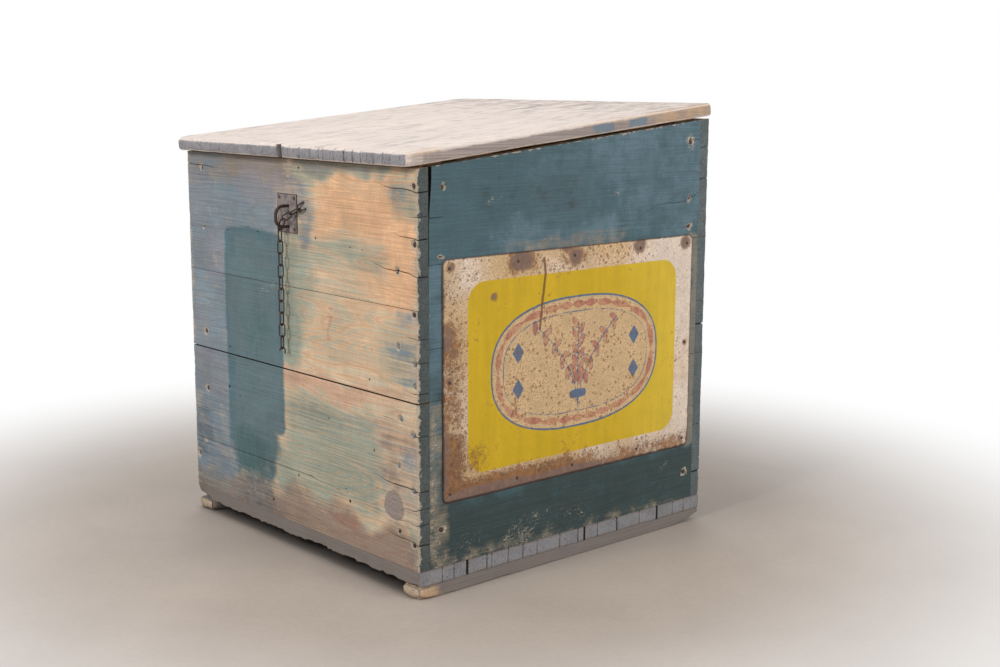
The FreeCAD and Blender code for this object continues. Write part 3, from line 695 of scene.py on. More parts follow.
def scratches(tree, place, axis, where, blotch):
    """Flakes and strokes where the wall is scuffed: short ones with the grain and long ones across it.

    Real scratches are 0.3 mm wide; these are 1 mm and more, because finer ones wouldn't show."""
    flake = grain(tree, place, along(axis, 7.0, 1.6), 4.0, 0.62)
    down = grain(tree, place, along(2, 11.0, 1.5), 3.0, 0.6)
    slant = grain(tree, place, along(axis, 34.0, 1.2), 2.0, 0.5,
                  (0.0, 0.6, 0.0) if axis == 0 else (0.6, 0.0, 0.0))
    marks = larger(tree, flake, sum_of(tree, down, (1.0, -0.04)), sum_of(tree, slant, (1.0, -0.05)))
    return over(tree, sum_of(tree, where, (marks, 2.4), (blotch, 0.8)), 2.42, 2.72, 0.0, 0.72)


def painted_pine(name, axis, face_axis, face, base, end_colour, layers, late=0.12):
    """Pine boards under old oil paint that has worn thin along the grain.

    The wood gives growth rings and long soft streaks. The paint keeps a dull skin between them, with
    grime in it, and has chipped to raw wood at the arrises and round the nails."""
    made, tree, shader = new_material(name)
    place = own_place(tree)
    streak = grain(tree, place, along(axis, 95.0, 3.2), 5.0, 0.6)
    line = grain(tree, place, along(axis, 130.0, 1.5), 3.0, 0.6)
    blotch = grain(tree, place, (24.0, 24.0, 24.0), 6.0, 0.6)
    cloud = grain(tree, place, (90.0, 90.0, 90.0), 5.0, 0.55)
    grit = grain(tree, place, (2.6, 2.6, 2.6), 3.0, 0.6)
    drip = grain(tree, place, along(2, 80.0, 5.0), 4.0, 0.55)
    rings, latewood = growth_rings(tree, place, axis, streak)
    end, hollow, halo, arris, knot = (field(tree, key) for key in ("end", "hollow", "halo", "arris", "knot"))

    skin = blend(tree, rings, colour(base[0]), colour(base[1]))
    for key, shade, streak_part, blotch_part, ring_part, soft, strength in layers:
        laid = field(tree, key)
        amount = sum_of(tree, laid, (streak, 2 * streak_part), (blotch, 2 * blotch_part), (rings, ring_part))
        middle = 0.5 + streak_part + blotch_part + ring_part / 2
        share = product(tree, over(tree, amount, middle - soft, middle + soft, 0.0, strength),
                        over(tree, laid, 0.0, 0.25))
        skin = blend(tree, share, skin, tone(tree, colour(shade), cloud, 0.86, 1.14))
    skin = tone(tree, skin, line, 0.84, 1.12)
    skin = tone(tree, skin, blotch, 0.88, 1.1)
    skin = tone(tree, skin, drip, 0.975, 1.02)
    skin = blend(tree, over(tree, sum_of(tree, field(tree, "old"), (drip, 1.4)), 1.5, 1.9, 0.0, 0.35), skin,
                 colour("side_cloud"))
    skin = tone(tree, skin, grit, 0.93, 1.06)
    dark_lines = product(tree, latewood, over(tree, blotch, 0.35, 0.6, 0.0, late),
                         over(tree, field(tree, "old"), 0.2, 0.9, 1.0, 0.25))
    skin = blend(tree, dark_lines, skin, linear("#4d4238"))
    raw = tone(tree, tone(tree, colour("chip"), line, 0.75, 1.1), blotch, 0.85, 1.08)
    heart = over(tree, sum_of(tree, knot, (blotch, 0.25)), 0.66, 0.74)
    bark = product(tree, over(tree, sum_of(tree, knot, (blotch, 0.25)), 0.6, 0.66),
                   over(tree, heart, 0.0, 1.0, 1.0, 0.0))
    skin = blend(tree, over(tree, knot, 0.4, 0.55, 0.0, 0.75), skin, raw)
    year = add(tree, "Math", {"operation": "SINE"},
               {0: sum_of(tree, 0.0, (knot, 60.0), (blotch, 7.0))}).outputs[0]
    heart_wood = blend(tree, over(tree, year, 0.1, 0.9, 0.0, 0.45),
                       tone(tree, colour("knot"), grit, 0.75, 1.15),
                       linear("#5a4f4a"))
    skin = blend(tree, product(tree, heart, 0.75), skin, heart_wood)
    skin = blend(tree, product(tree, bark, 0.5), skin, linear("#5a4f4a"))
    skin = blend(tree, scratches(tree, place, axis, field(tree, "scuff"), blotch), skin, raw)
    bare = over(tree, sum_of(tree, field(tree, "bare"), (blotch, 1.0)), 0.9, 1.05)
    skin = blend(tree, bare, skin,
                 tone(tree, blend(tree, 0.4, raw, colour("worn_bottom")), streak, 0.75, 1.15))

    checks = grain(tree, place, along(2, 3.0, 14.0), 3.0, 0.6)
    end_skin = tone(tree, tone(tree, colour(end_colour), grit, 0.72, 1.25), blotch, 0.82, 1.18)
    end_skin = blend(tree, over(tree, checks, 0.58, 0.7, 0.0, 0.5), end_skin, linear("#2a2b2b"))
    skin = blend(tree, end, skin, end_skin)

    # Chips reach as far from a worn arris as the noise is high
    chipped = grain(tree, place, (9.0, 9.0, 9.0), 5.0, 0.68)
    reach = sum_of(tree, arris, (chipped, -22.0), (cloud, -8.0), (field(tree, "scuff"), -3.5))
    chips = over(tree, reach, -15.6, -14.4, 0.9, 0.0)
    skin = blend(tree, chips, skin, raw)
    # Pale ring of raw wood round each nail: chipped paint, and a painted highlight on the crater's rim.
    ring_round = over(tree, sum_of(tree, halo, (chipped, 1.5), (cloud, 0.6)), 1.45, 1.65, 0.0, 0.85)
    skin = blend(tree, ring_round, skin, raw)
    stain = over(tree, sum_of(tree, halo, (blotch, 0.6)), 0.95, 1.15, 0.0, 0.85)
    skin = blend(tree, stain, skin, colour("nail_rust"))
    # Painted shade: cracks, pits and joints near-black.
    skin = blend(tree, over(tree, hollow, 0.1, 0.6, 0.0, 0.96), skin, linear("#100d0b"))

    inner = tone(tree, blend(tree, product(tree, rings, 0.35), colour("inside_pine"), colour("fresh_pine")), streak,
                 0.78, 1.1)
    inner = tone(tree, inner, blotch, 0.85, 1.08)
    outside = larger(tree, outer_face(tree, face_axis, face, 1.0 if face > 0 else -1.0), end)
    skin = blend(tree, outside, inner, skin)
    tree.links.new(skin, shader.inputs["Base Color"])
    tree.links.new(over(tree, sum_of(tree, blotch, (chips, 0.5)), 0.3, 1.0, 0.6, 0.86),
                   shader.inputs["Roughness"])
    shader.inputs["Specular IOR Level"].default_value = 0.28
    height = sum_of(tree, product(tree, streak, 0.9), (line, 0.8), (grit, 0.15), (chips, -0.8), (bare, -1.0),
                    (latewood, -0.1))
    bump = add(tree, "Bump", links={"Strength": 0.8, "Distance": 0.0008, "Height": height})
    tree.links.new(bump.outputs[0], shader.inputs["Normal"])
    return made


# Paints from the oldest up: field, colour, how far streaks, blotches and rings break it, softness, strength
FRONT_LAYERS = [
    ("orange", "fresh_pine", 0.35, 0.2, 0.12, 0.6, 0.95),
    ("green", "green_paint", 0.6, 0.3, -0.22, 0.7, 0.95),
    ("peach", "peach_wood", 0.5, 0.35, 0.12, 0.5, 0.95),
    ("grey", "grey_film", 0.5, 0.7, 0.0, 0.55, 0.85),
    ("blue", "blue_paint", 0.5, 0.6, 0.0, 0.5, 0.92),
    ("violet", "violet_tint", 0.4, 0.8, 0.0, 0.55, 0.8),
    ("bottom", "worn_bottom", 0.5, 0.6, 0.0, 0.55, 0.9),
    ("soot", "old_soot", 0.7, 0.7, 0.0, 0.5, 0.8),
    ("old", "old_teal", 0.2, 0.4, 0.0, 0.32, 0.93),
    ("shade", "old_shade", 0.2, 1.0, 0.0, 0.5, 0.85),
    ("red", "red_mark", 0.7, 0.5, 0.0, 0.3, 0.55),
]

SIDE_LAYERS = [
    ("cloud", "side_cloud", 0.5, 1.1, 0.0, 0.6, 0.85),
    ("deep", "side_deep", 0.4, 1.0, 0.0, 0.5, 0.95),
    ("dust", "dust", 0.5, 1.0, 0.0, 0.45, 0.8),
]


def bare_pine(name, axis, light, dark, end_colour, streak_share=0.5):
    """Pine with no paint, greyed by weather: raised grain, long pale and grey streaks, checked end grain.

    It reads the fields rub, grime and paint, where hands have rubbed it tan and where dirt and old paint
    are left, and under, 1 on a face that the weather never reached."""
    made, tree, shader = new_material(name)
    place = own_place(tree)
    streak = grain(tree, place, along(axis, 170.0, 5.5), 6.0, 0.6)
    line = grain(tree, place, along(axis, 260.0, 1.4), 3.0, 0.6)
    blotch = grain(tree, place, (30.0, 30.0, 30.0), 5.0, 0.6)
    cloud = grain(tree, place, along(axis, 260.0, 90.0), 4.0, 0.55)
    grit = grain(tree, place, (2.2, 2.2, 2.2), 3.0, 0.55)
    rings, latewood = growth_rings(tree, place, axis, streak, 16.0)
    end, hollow, arris = (field(tree, key) for key in ("end", "hollow", "arris"))
    grey = over(tree, sum_of(tree, streak, (cloud, 1.0), (blotch, 0.4)), 0.8, 1.6, 0.0, 1.6 * streak_share)
    skin = blend(tree, grey, colour(light), colour(dark))
    skin = tone(tree, tone(tree, skin, line, 0.9, 1.05), rings, 1.02, 0.97)
    skin = blend(tree, product(tree, latewood, over(tree, blotch, 0.35, 0.65, 0.0, 0.3)), skin,
                 colour("grey_pine"))
    rub = over(tree, sum_of(tree, field(tree, "rub"), (streak, 0.7), (blotch, 1.2)), 1.25, 1.75, 0.0, 0.95)
    skin = blend(tree, rub, skin,
                 tone(tree, tone(tree, colour("lid_tan"), streak, 0.8, 1.12), grit, 0.9, 1.1))
    grime = over(tree, sum_of(tree, field(tree, "grime"), (streak, 0.6), (blotch, 0.8)), 0.9, 1.3, 0.0, 0.9)
    skin = blend(tree, grime, skin, tone(tree, colour("lid_grime"), line, 0.7, 1.22))
    left = over(tree, sum_of(tree, field(tree, "paint"), (blotch, 2.2), (streak, 0.5)), 1.8, 2.1, 0.0, 0.85)
    skin = blend(tree, left, skin, tone(tree, colour("blue_paint"), blotch, 0.8, 1.05))
    kept = tone(tree, tone(tree, colour("inside_pine"), streak, 0.8, 1.12), blotch, 0.88, 1.08)
    skin = blend(tree, field(tree, "under"), skin, kept)
    checks = grain(tree, place, (2.2, 2.2, 16.0) if axis < 2 else (3.0, 3.0, 3.0), 3.0, 0.6, (0.0, 0.35, 0.0))
    ends = tone(tree, tone(tree, colour(end_colour), grit, 0.82, 1.16), blotch, 0.86, 1.12)
    ends = blend(tree, over(tree, checks, 0.56, 0.68, 0.0, 0.6), ends, linear("#38363a"))
    skin = blend(tree, end, skin, ends)
    dirt = over(tree, sum_of(tree, blotch, (grit, 0.4)), 0.72, 1.0, 0.0, 0.22)
    skin = blend(tree, dirt, skin, colour("grey_pine"))
    raised = over(tree, sum_of(tree, arris, (blotch, -6.0)), -2.4, 0.4, 0.75, 0.0)
    skin = blend(tree, raised, skin, tone(tree, colour(light), grit, 0.85, 1.1))
    # Painted shade: cracks, pits and joints near-black.
    skin = blend(tree, over(tree, hollow, 0.1, 0.6, 0.0, 0.94), skin, linear("#15110e"))
    tree.links.new(skin, shader.inputs["Base Color"])
    shader.inputs["Roughness"].default_value = 0.82
    shader.inputs["Specular IOR Level"].default_value = 0.22
    height = sum_of(tree, product(tree, streak, 1.0), (line, 0.5), (grit, 0.15), (checks, 0.2))
    bump = add(tree, "Bump", links={"Strength": 0.45, "Distance": 0.0006, "Height": height})
    tree.links.new(bump.outputs[0], shader.inputs["Normal"])
    return made


def rusted_metal(name, base, rust, rust_start, metallic, spot=4.0):
    """Iron or steel under a matt, pitted crust of rust; where it is thin the dark metal has a dull gleam."""
    made, tree, shader = new_material(name)
    place = add(tree, "TexCoord").outputs["Object"]
    cloud = grain(tree, place, (spot, spot, spot), 5.0, 0.65)
    pits = grain(tree, place, (0.9, 0.9, 0.9), 3.0, 0.6)
    crust = over(tree, sum_of(tree, cloud, (pits, 0.4)), rust_start, rust_start + 0.25)
    skin = blend(tree, crust, tone(tree, colour(base), pits, 0.75, 1.2),
                 tone(tree, colour(rust), pits, 0.7, 1.2))
    tree.links.new(skin, shader.inputs["Base Color"])
    tree.links.new(over(tree, crust, 0.0, 1.0, 0.5, 0.85), shader.inputs["Roughness"])
    shader.inputs["Metallic"].default_value = metallic
    bump = add(tree, "Bump", links={"Strength": 0.8, "Distance": 0.0003,
                                    "Height": sum_of(tree, pits, (crust, 0.4))})
    tree.links.new(bump.outputs[0], shader.inputs["Normal"])
    return made


def nail_steel(name):
    """Wrought nails under brown rust; those that the wall's paint covered are grey, rusty at the rim."""
    made, tree, shader = new_material(name)
    place = add(tree, "TexCoord").outputs["Object"]
    cloud = grain(tree, place, (3.0, 3.0, 3.0), 4.0, 0.65)
    rusty = over(tree, sum_of(tree, field(tree, "rusty"), (cloud, 1.2)), 0.9, 1.3)
    grey = tone(tree, colour("nail_grey"), cloud, 0.7, 1.25)
    skin = blend(tree, rusty, grey, tone(tree, colour("nail_rust"), cloud, 0.6, 1.4))
    tree.links.new(skin, shader.inputs["Base Color"])
    shader.inputs["Roughness"].default_value = 0.7
    bump = add(tree, "Bump", links={"Strength": 0.7, "Distance": 0.0003, "Height": cloud})
    tree.links.new(bump.outputs[0], shader.inputs["Normal"])
    return made


def painted_steel_plate(name):
    """Thin steel plate painted over with the wall, its edges bare and rusty."""
    made, tree, shader = new_material(name)
    place = own_place(tree)
    blotch = grain(tree, place, (9.0, 9.0, 9.0), 5.0, 0.65)
    drip = grain(tree, place, (3.0, 3.0, 26.0), 4.0, 0.6)
    skin = tone(tree, tone(tree, colour("plate_grey"), blotch, 0.85, 1.12), drip, 0.88, 1.1)
    film = over(tree, sum_of(tree, blotch, (drip, 0.6)), 0.75, 1.0, 0.0, 0.7)
    skin = blend(tree, film, skin, colour("blue_paint"))
    worn = over(tree, sum_of(tree, field(tree, "arris"), (blotch, -4.0)), -1.3, 0.2, 0.9, 0.0)
    rust = larger(tree, worn,
                  over(tree, sum_of(tree, field(tree, "halo"), (blotch, 0.8)), 0.85, 1.2, 0.0, 0.8))
    skin = blend(tree, rust, skin, tone(tree, colour("nail_rust"), blotch, 0.7, 1.3))
    tree.links.new(skin, shader.inputs["Base Color"])
    shader.inputs["Roughness"].default_value = 0.6
    bump = add(tree, "Bump",
               links={"Strength": 0.6, "Distance": 0.0003, "Height": sum_of(tree, blotch, (rust, 0.4))})
    tree.links.new(bump.outputs[0], shader.inputs["Normal"])
    return made


def pinholes(tree, place, apart):
    """Distance to the nearest of points strewn so many mm apart, as a share of that."""
    laid = add(tree, "Mapping", {"vector_type": "TEXTURE"},
               {"Vector": place, "Scale": [apart * MM] * 3}).outputs[0]
    return add(tree, "TexVoronoi", links={"Vector": laid, "Scale": 1.0}).outputs["Distance"]


def printed_tinplate(name):
    """Tinned steel sheet with lacquered ink: a satin cream ground and yellow panel, rusting in spots.

    The design's outlines are distances in mm, kept on the sheet's points, so that they stay sharp."""
    made, tree, shader = new_material(name)
    place = add(tree, "TexCoord").outputs["Object"]
    dot = grain(tree, place, (2.4, 2.4, 2.4), 4.0, 0.7)
    fleck = grain(tree, place, (8.0, 8.0, 8.0), 5.0, 0.65)
    blotch = grain(tree, place, (32.0, 32.0, 32.0), 5.0, 0.62)
    wide = grain(tree, place, (150.0, 150.0, 150.0), 3.0, 0.5)
    ragged = sum_of(tree, -0.6, (fleck, 1.2))
    panel = over(tree, sum_of(tree, field(tree, "panel"), (ragged, 1.0)), -0.5, 0.5, 1.0, 0.0)
    medal = over(tree, sum_of(tree, field(tree, "medal"), (ragged, 1.0)), -0.4, 0.4, 1.0, 0.0)
    # The cream paler and the yellow lighter towards the sheet's right.
    bleach = field(tree, "bleach")
    pale = over(tree, sum_of(tree, wide, (blotch, 0.4), (bleach, 0.3), (medal, -0.25)), 0.62, 0.95)
    ground = blend(tree, pale, colour("sign_cream"), colour("sign_pale"))
    ground = tone(tree, tone(tree, ground, blotch, 0.86, 1.12), dot, 0.76, 1.13)
    yellow = blend(tree, product(tree, bleach, 0.5), colour("sign_yellow"), colour("sign_lemon"))
    yellow = tone(tree, tone(tree, yellow, blotch, 0.93, 1.05),
                  grain(tree, place, (40.0, 14.0, 160.0), 4.0, 0.5),
                  0.94, 1.05)
    ink = blend(tree, medal, blend(tree, panel, ground, yellow), ground)
    faded = over(tree, sum_of(tree, blotch, (fleck, 0.6)), 0.62, 0.95, 0.92, 0.45)
    figure = over(tree, sum_of(tree, field(tree, "figure"), (ragged, 1.0)), -0.5, 0.5, 1.0, 0.0)
    ink = blend(tree, product(tree, figure, faded), ink, tone(tree, colour("sign_red"), blotch, 0.85, 1.12))
    lines = over(tree, sum_of(tree, field(tree, "lines"), (ragged, 1.0)), -0.4, 0.4, 0.9, 0.0)
    ink = blend(tree, lines, ink, tone(tree, colour("sign_blue"), fleck, 0.85, 1.15))

    # Rust: dense spots on the cream and few on the yellow, patches at the edge and round the nails
    rusty = field(tree, "rust")
    spread = sum_of(tree, -0.3, (blotch, 0.6), (dot, 0.4), (rusty, 0.2), (panel, -0.16), (medal, 0.17),
                    (bleach, -0.07))
    spots = larger(tree, *[over(tree, sum_of(tree, pinholes(tree, place, apart), (spread, -1.0)), -0.05, 0.09,
                                0.7, 0.0) for apart in (2.1, 3.7, 8.9)])
    patch = over(tree, sum_of(tree, rusty, (blotch, 1.6), (fleck, 0.8), (dot, 1.5)), 2.15, 2.8)
    bare = over(tree, sum_of(tree, field(tree, "bare"), (blotch, 1.3), (fleck, 0.9)), 1.45, 2.0)
    halo = over(tree, sum_of(tree, field(tree, "bare"), (blotch, 1.3), (fleck, 0.9)), 1.25, 1.6, 0.0, 0.55)
    rust = blend(tree, over(tree, blotch, 0.44, 0.6), colour("sign_rust"), colour("sign_ochre"))
    ink = blend(tree, spots, ink, tone(tree, colour("sign_rust"), blotch, 0.85, 1.2))
    ink = blend(tree, product(tree, patch, 0.85), ink, tone(tree, rust, fleck, 0.75, 1.2))
    ink = blend(tree, halo, ink, tone(tree, colour("sign_ochre"), fleck, 0.8, 1.2))
    ink = blend(tree, product(tree, bare, 0.92), ink, tone(tree, colour("sign_purple"), fleck, 0.8, 1.2))
    run = over(tree, sum_of(tree, field(tree, "run"), (fleck, 3.0)), 0.8, 2.4, 0.85, 0.0)
    ink = blend(tree, run, ink, tone(tree, colour("sign_rust"), dot, 0.85, 1.15))
    # Dark rim at the sheet's edge, widest along its front and lower edges: rust, and painted shadow of the gap
    # under the tin.
    rim = over(tree, sum_of(tree, field(tree, "rim"), (fleck, -3.0)), -0.6, 1.4, 0.9, 0.0)
    ink = blend(tree, rim, ink, linear("#3d2c27"))
    tree.links.new(ink, shader.inputs["Base Color"])
    worn = larger(tree, patch, bare, run)
    tree.links.new(over(tree, sum_of(tree, worn, (spots, 0.6)), 0.0, 1.0, 0.42, 0.8),
                   shader.inputs["Roughness"])
    shader.inputs["Specular IOR Level"].default_value = 0.3
    height = sum_of(tree, product(tree, spots, -0.6), (worn, -0.5), (fleck, 0.25))
    bump = add(tree, "Bump", links={"Strength": 0.5, "Distance": 0.0003, "Height": height})
    tree.links.new(bump.outputs[0], shader.inputs["Normal"])
    return made


MATERIALS = {
    "painted_pine_front": lambda name: painted_pine(
        name, 0, 1, ORIGIN[1], ("cream_wash", "pale_pine"), "strip_slate", FRONT_LAYERS, 0.16),
    "painted_pine_right": lambda name: painted_pine(
        name, 1, 0, ORIGIN[0] + WIDTH * MM, ("side_teal", "side_teal"), "strip_slate", SIDE_LAYERS),
    "painted_pine_left": lambda name: painted_pine(
        name, 1, 0, ORIGIN[0], ("side_teal", "side_teal"), "strip_slate", SIDE_LAYERS),
    "painted_pine_back": lambda name: painted_pine(
        name, 0, 1, ORIGIN[1] + DEPTH * MM, ("side_teal", "side_teal"), "strip_grey", SIDE_LAYERS),
    "silvered_pine_lid": lambda name: bare_pine(name, 1, "lid_top", "lid_streak", "lid_end", 0.33),
    "worn_pine_floor": lambda name: bare_pine(name, 0, "floor_face", "grey_pine", "floor_end"),
    "worn_pine_runner": lambda name: bare_pine(name, 1, "floor_face", "grey_pine", "stump"),
    "bare_pine_post": lambda name: bare_pine(name, 2, "inside_pine", "grey_pine", "inside_pine", 0.2),
    "bare_pine_batten": lambda name: bare_pine(name, 0, "inside_pine", "grey_pine", "inside_pine", 0.2),
    "wrought_iron": lambda name: rusted_metal(name, "iron", "iron_rust", 0.6, 0.2, 3.0),
    "rusted_hinge_steel": lambda name: rusted_metal(name, "iron", "nail_rust", 0.6, 0.3, 8.0),
    "rusted_nail_steel": nail_steel,
    "painted_steel_plate": painted_steel_plate,
    "printed_tinplate": printed_tinplate,
}


@functools.cache
def material(name):
    """The finish of that name, made when it is first asked for."""
    return MATERIALS[name](name)


# Walls, frame and lid

FRONT_AXES = ((1, 0, 0), (0, 0, 1), (0, -1, 0))
BACK_AXES = ((-1, 0, 0), (0, 0, 1), (0, 1, 0))
RIGHT_AXES = ((0, 1, 0), (0, 0, 1), (1, 0, 0))
LEFT_AXES = ((0, -1, 0), (0, 0, 1), (-1, 0, 0))
FLAT_AXES = ((1, 0, 0), (0, 1, 0), (0, 0, 1))
DEEP_AXES = ((0, 1, 0), (-1, 0, 0), (0, 0, 1))
POST_AXES = ((0, 0, 1), (1, 0, 0), (0, 1, 0))
ROWS = ("low", "middle", "top")


def lid_axes():
    """The lid's directions: back up its slope, to the left, and square to it. The slope is that of its
    underside, from its lowest edge to the one furthest back."""
    points = node_points("lid_board_right")[0]
    back = points[points[:, 1].argmax()] - points[points[:, 2].argmin()]
    back[0] = 0
    back /= np.linalg.norm(back)
    left = np.array([-1.0, 0.0, 0.0])
    return np.array([back, left, np.cross(back, left)])


KNOT = (533.0, 84.0, 46.0)  # place on the low front board, and how far its field reaches


def shrunk_end(points, u, v, t, size, grid):
    """The right wall's top board has shrunk from the front wall: a gap that widens up its last 80 mm."""
    opening = 4.5 * smooth(size[1] - 95, size[1] - 20, v) + 0.8
    points[:, 0] += opening * np.clip(1 - u / 40, 0, 1)
    return points


def make_wall(side, axes, across, paint, cracks, marks, step, seed):
    ends = WORN if side in ("front", "back") else JOINT  # theirs show at the corners
    highest = CLEAN if side == "front" else WORN
    for number, row in enumerate(ROWS):
        node = "%s_board_%s" % (side, row)
        world, faces, fields, flat = board(
            node, axes, step, size_mm("wall_arris"), size_mm("wall_wear"), cracks.get(row, ()), "wall_nails",
            (ends, ends, JOINT, highest if row == "top" else JOINT, CLEAN, WORN), marks.get(row, ()),
            sloping=row == "top",
            crater=size_mm("crater"), bend=shrunk_end if node == "right_board_top" else None,
            seed=seed + number)
        fields.update(paint_fields(world, across, paint, sharp=("old", "bare")))
        if node == "front_board_low":
            away = np.hypot(flat[:, 0] - KNOT[0], (flat[:, 1] - KNOT[1]) / 0.95)
            fields["knot"] = np.clip(1 - away / KNOT[2], 0, 1)
        piece = make_mesh("visual_" + node, world, faces, fields)
        finish_piece(piece, "root", "painted_boards", material("painted_pine_" + side), node)


class BREADBOX_OT_front_wall(bpy.types.Operator):
    """Front wall: three boards with worn paint, cracks and nail hollows"""
    bl_idname = "breadbox.front_wall"
    bl_label = "Front wall"

    def execute(self, context):
        make_wall("front", FRONT_AXES, 0, FRONT_PAINT, FRONT_CRACKS, FRONT_MARKS, 5.0, 10)
        return {"FINISHED"}


class BREADBOX_OT_side_walls(bpy.types.Operator):
    """Right, left and back walls: three boards each, under teal paint"""
    bl_idname = "breadbox.side_walls"
    bl_label = "Side and back walls"

    def execute(self, context):
        make_wall("right", RIGHT_AXES, 1, RIGHT_PAINT, SIDE_CRACKS, {}, 5.5, 20)
        make_wall("left", LEFT_AXES, 1, LEFT_PAINT, {}, {}, 7.0, 30)
        make_wall("back", BACK_AXES, 0, BACK_PAINT, BACK_CRACKS, {}, 7.0, 40)
        return {"FINISHED"}


def splintered(points, u, v, t, size, grid):
    """The first floor board's lower front edge has broken away in splinters, most at its left corner."""
    along_edge = np.column_stack([u, 0 * u, 0 * u])
    torn = 1.6 + 1.3 * fractal(along_edge, 40.0, 61, 2) + 1.6 * fractal(along_edge, 7.0, 65, 2)
    torn = torn + 6 * smooth(50, 0, u)
    lower = np.clip(1 - v / 16, 0, 1) * (1 - t / size[2])
    points[:, 2] += np.clip(torn, 0, 9) * lower
    points[:, 1] += 0.5 * np.clip(torn, 0, 9) * lower
    return points


def worn_foot(u, v, t, size, grid):
    """A runner's front end has worn to a round stump."""
    return np.clip(1 - u / 40, 0, 1) * (7 + 5 * fractal(grid, 13.0, 71))


class BREADBOX_OT_frame_wood(bpy.types.Operator):
    """Corner posts, floor boards and runners"""
    bl_idname = "breadbox.frame_wood"
    bl_label = "Posts, floor and runners"

    def execute(self, context):
        for number, corner in enumerate(("front_left", "front_right", "back_left", "back_right")):
            node = "corner_post_" + corner
            world, faces, fields, flat = board(node, POST_AXES, 14.0, 0.6, 0.8, seed=50 + number)
            finish_piece(make_mesh("visual_" + node, world, faces, fields), "root", "inside_wood",
                         material("bare_pine_post"), node)
        for number in range(1, 5):
            node = "floor_board_%d" % number
            low, high = (edge.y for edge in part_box(node))
            front = (low - ORIGIN[1]) / MM
            width = (high - low) / MM
            cracks = [(WIDTH, WIDTH - 40 - 9 * (k % 4), depth - front, 1.5 * (-1) ** k, wide, 2.5)
                      for k, (depth, wide) in enumerate(FLOOR_CRACKS) if front + 4 < depth < front + width - 4]
            world, faces, fields, flat = board(
                node, FLAT_AXES, 6.0, 0.9, 1.4, cracks, bend=splintered if number == 1 else None,
                seed=60 + number)
            # Painted shade: a dark line along each gap between floor boards, through the hollow field.
            v = flat[:, 1]
            beside = np.minimum(v if number > 1 else v + FAR, width - v if number < 4 else FAR)
            fields["hollow"] = np.maximum(fields["hollow"], smooth(2.4, 1.0, beside))
            finish_piece(make_mesh("visual_" + node, world, faces, fields), "root", "floor_wood",
                         material("worn_pine_floor"), node)
        for number, side in enumerate(("left", "right")):
            node = "runner_" + side
            world, faces, fields, flat = board(
                node, DEEP_AXES, 8.0, 1.6, size_mm("floor_wear"), extra=worn_foot, bend=worn_heel,
                seed=70 + number)
            fields["rub"] = (0.66 if number else 0.3) * smooth(70, 20, flat[:, 0])
            finish_piece(make_mesh("visual_" + node, world, faces, fields), "root", "floor_wood",
                         material("worn_pine_runner"), node)
        return {"FINISHED"}


HEEL_LENGTH = 80.0
HEEL_RISE = 12.0


def worn_heel(points, u, v, t, size, grid):
    """The rear end of a runner's underside rises in a parabola to the heel's full rise."""
    share = np.clip((u - (size[0] - HEEL_LENGTH)) / HEEL_LENGTH, 0, 1)
    points[:, 2] += HEEL_RISE * share ** 2 * (1 - points[:, 2] / size[2])
    return points


LID_CRACKS = {
    "left": [(0, 40, 213.0, 2.0, 2.4, 3.2), (0, 22, 240.0, -3.0, 0.7, 1.4), (0, 16, 120.0, 2.0, 0.7, 1.2),
             (606, 560, 200.0, 5.0, 0.9, 3.0), (0, 30, 20.0, 2.0, 0.8, 1.5)],
    "right": [(0, length, 589.0 - x, drift, width, depth) for x, length, drift, width, depth in (
        (345, 14, 3.0, 3.2, 3.4), (372.5, 16, -2.0, 3.4, 3.8), (393, 18, 2.0, 3.2, 3.6),
        (404, 8, 2.0, 2.4, 2.4),
        (429, 12, -2.0, 3.0, 3.0), (452, 34, 4.0, 6.4, 6.4), (470.5, 16, 2.0, 3.4, 3.6),
        (486, 9, 2.0, 2.4, 2.6),
        (519.6, 12, -4.0, 3.4, 3.6), (540, 9, 3.0, 2.4, 2.4), (318, 110, 10.0, 1.8, 1.8))]
    + [(606, 545, 100.0, -6.0, 1.0, 3.0)],
}
# Radii at the front right, front left, back right and back left
LID_CORNERS = {"left": (12.0, 34.0, 4.0, 26.0), "right": (15.0, 18.0, 10.0, 4.0)}
LID_MARKS = {"left": [(36, 40, 1.6), (60, 232, 1.2)],
             "right": [(6, 12, 1.6), (110, 150, 1.0), (420, 60, 1.2)]}
LID_BULGE = 5.0  # further rounding of the lid's outer arrises


def bullnose(u, v, t, size, grid):
    """The lid's upper outer arrises are round, and wavy where the softer grain has gone."""
    wavy = np.clip(0.6 + 0.4 * noise(grid, 11.0, 83) + 0.4 * noise(grid, 37.0, 84), 0, 1.3)
    return LID_BULGE * wavy * (t > size[2] / 2) * (np.clip(1 - u / 12, 0, 1) > 0)


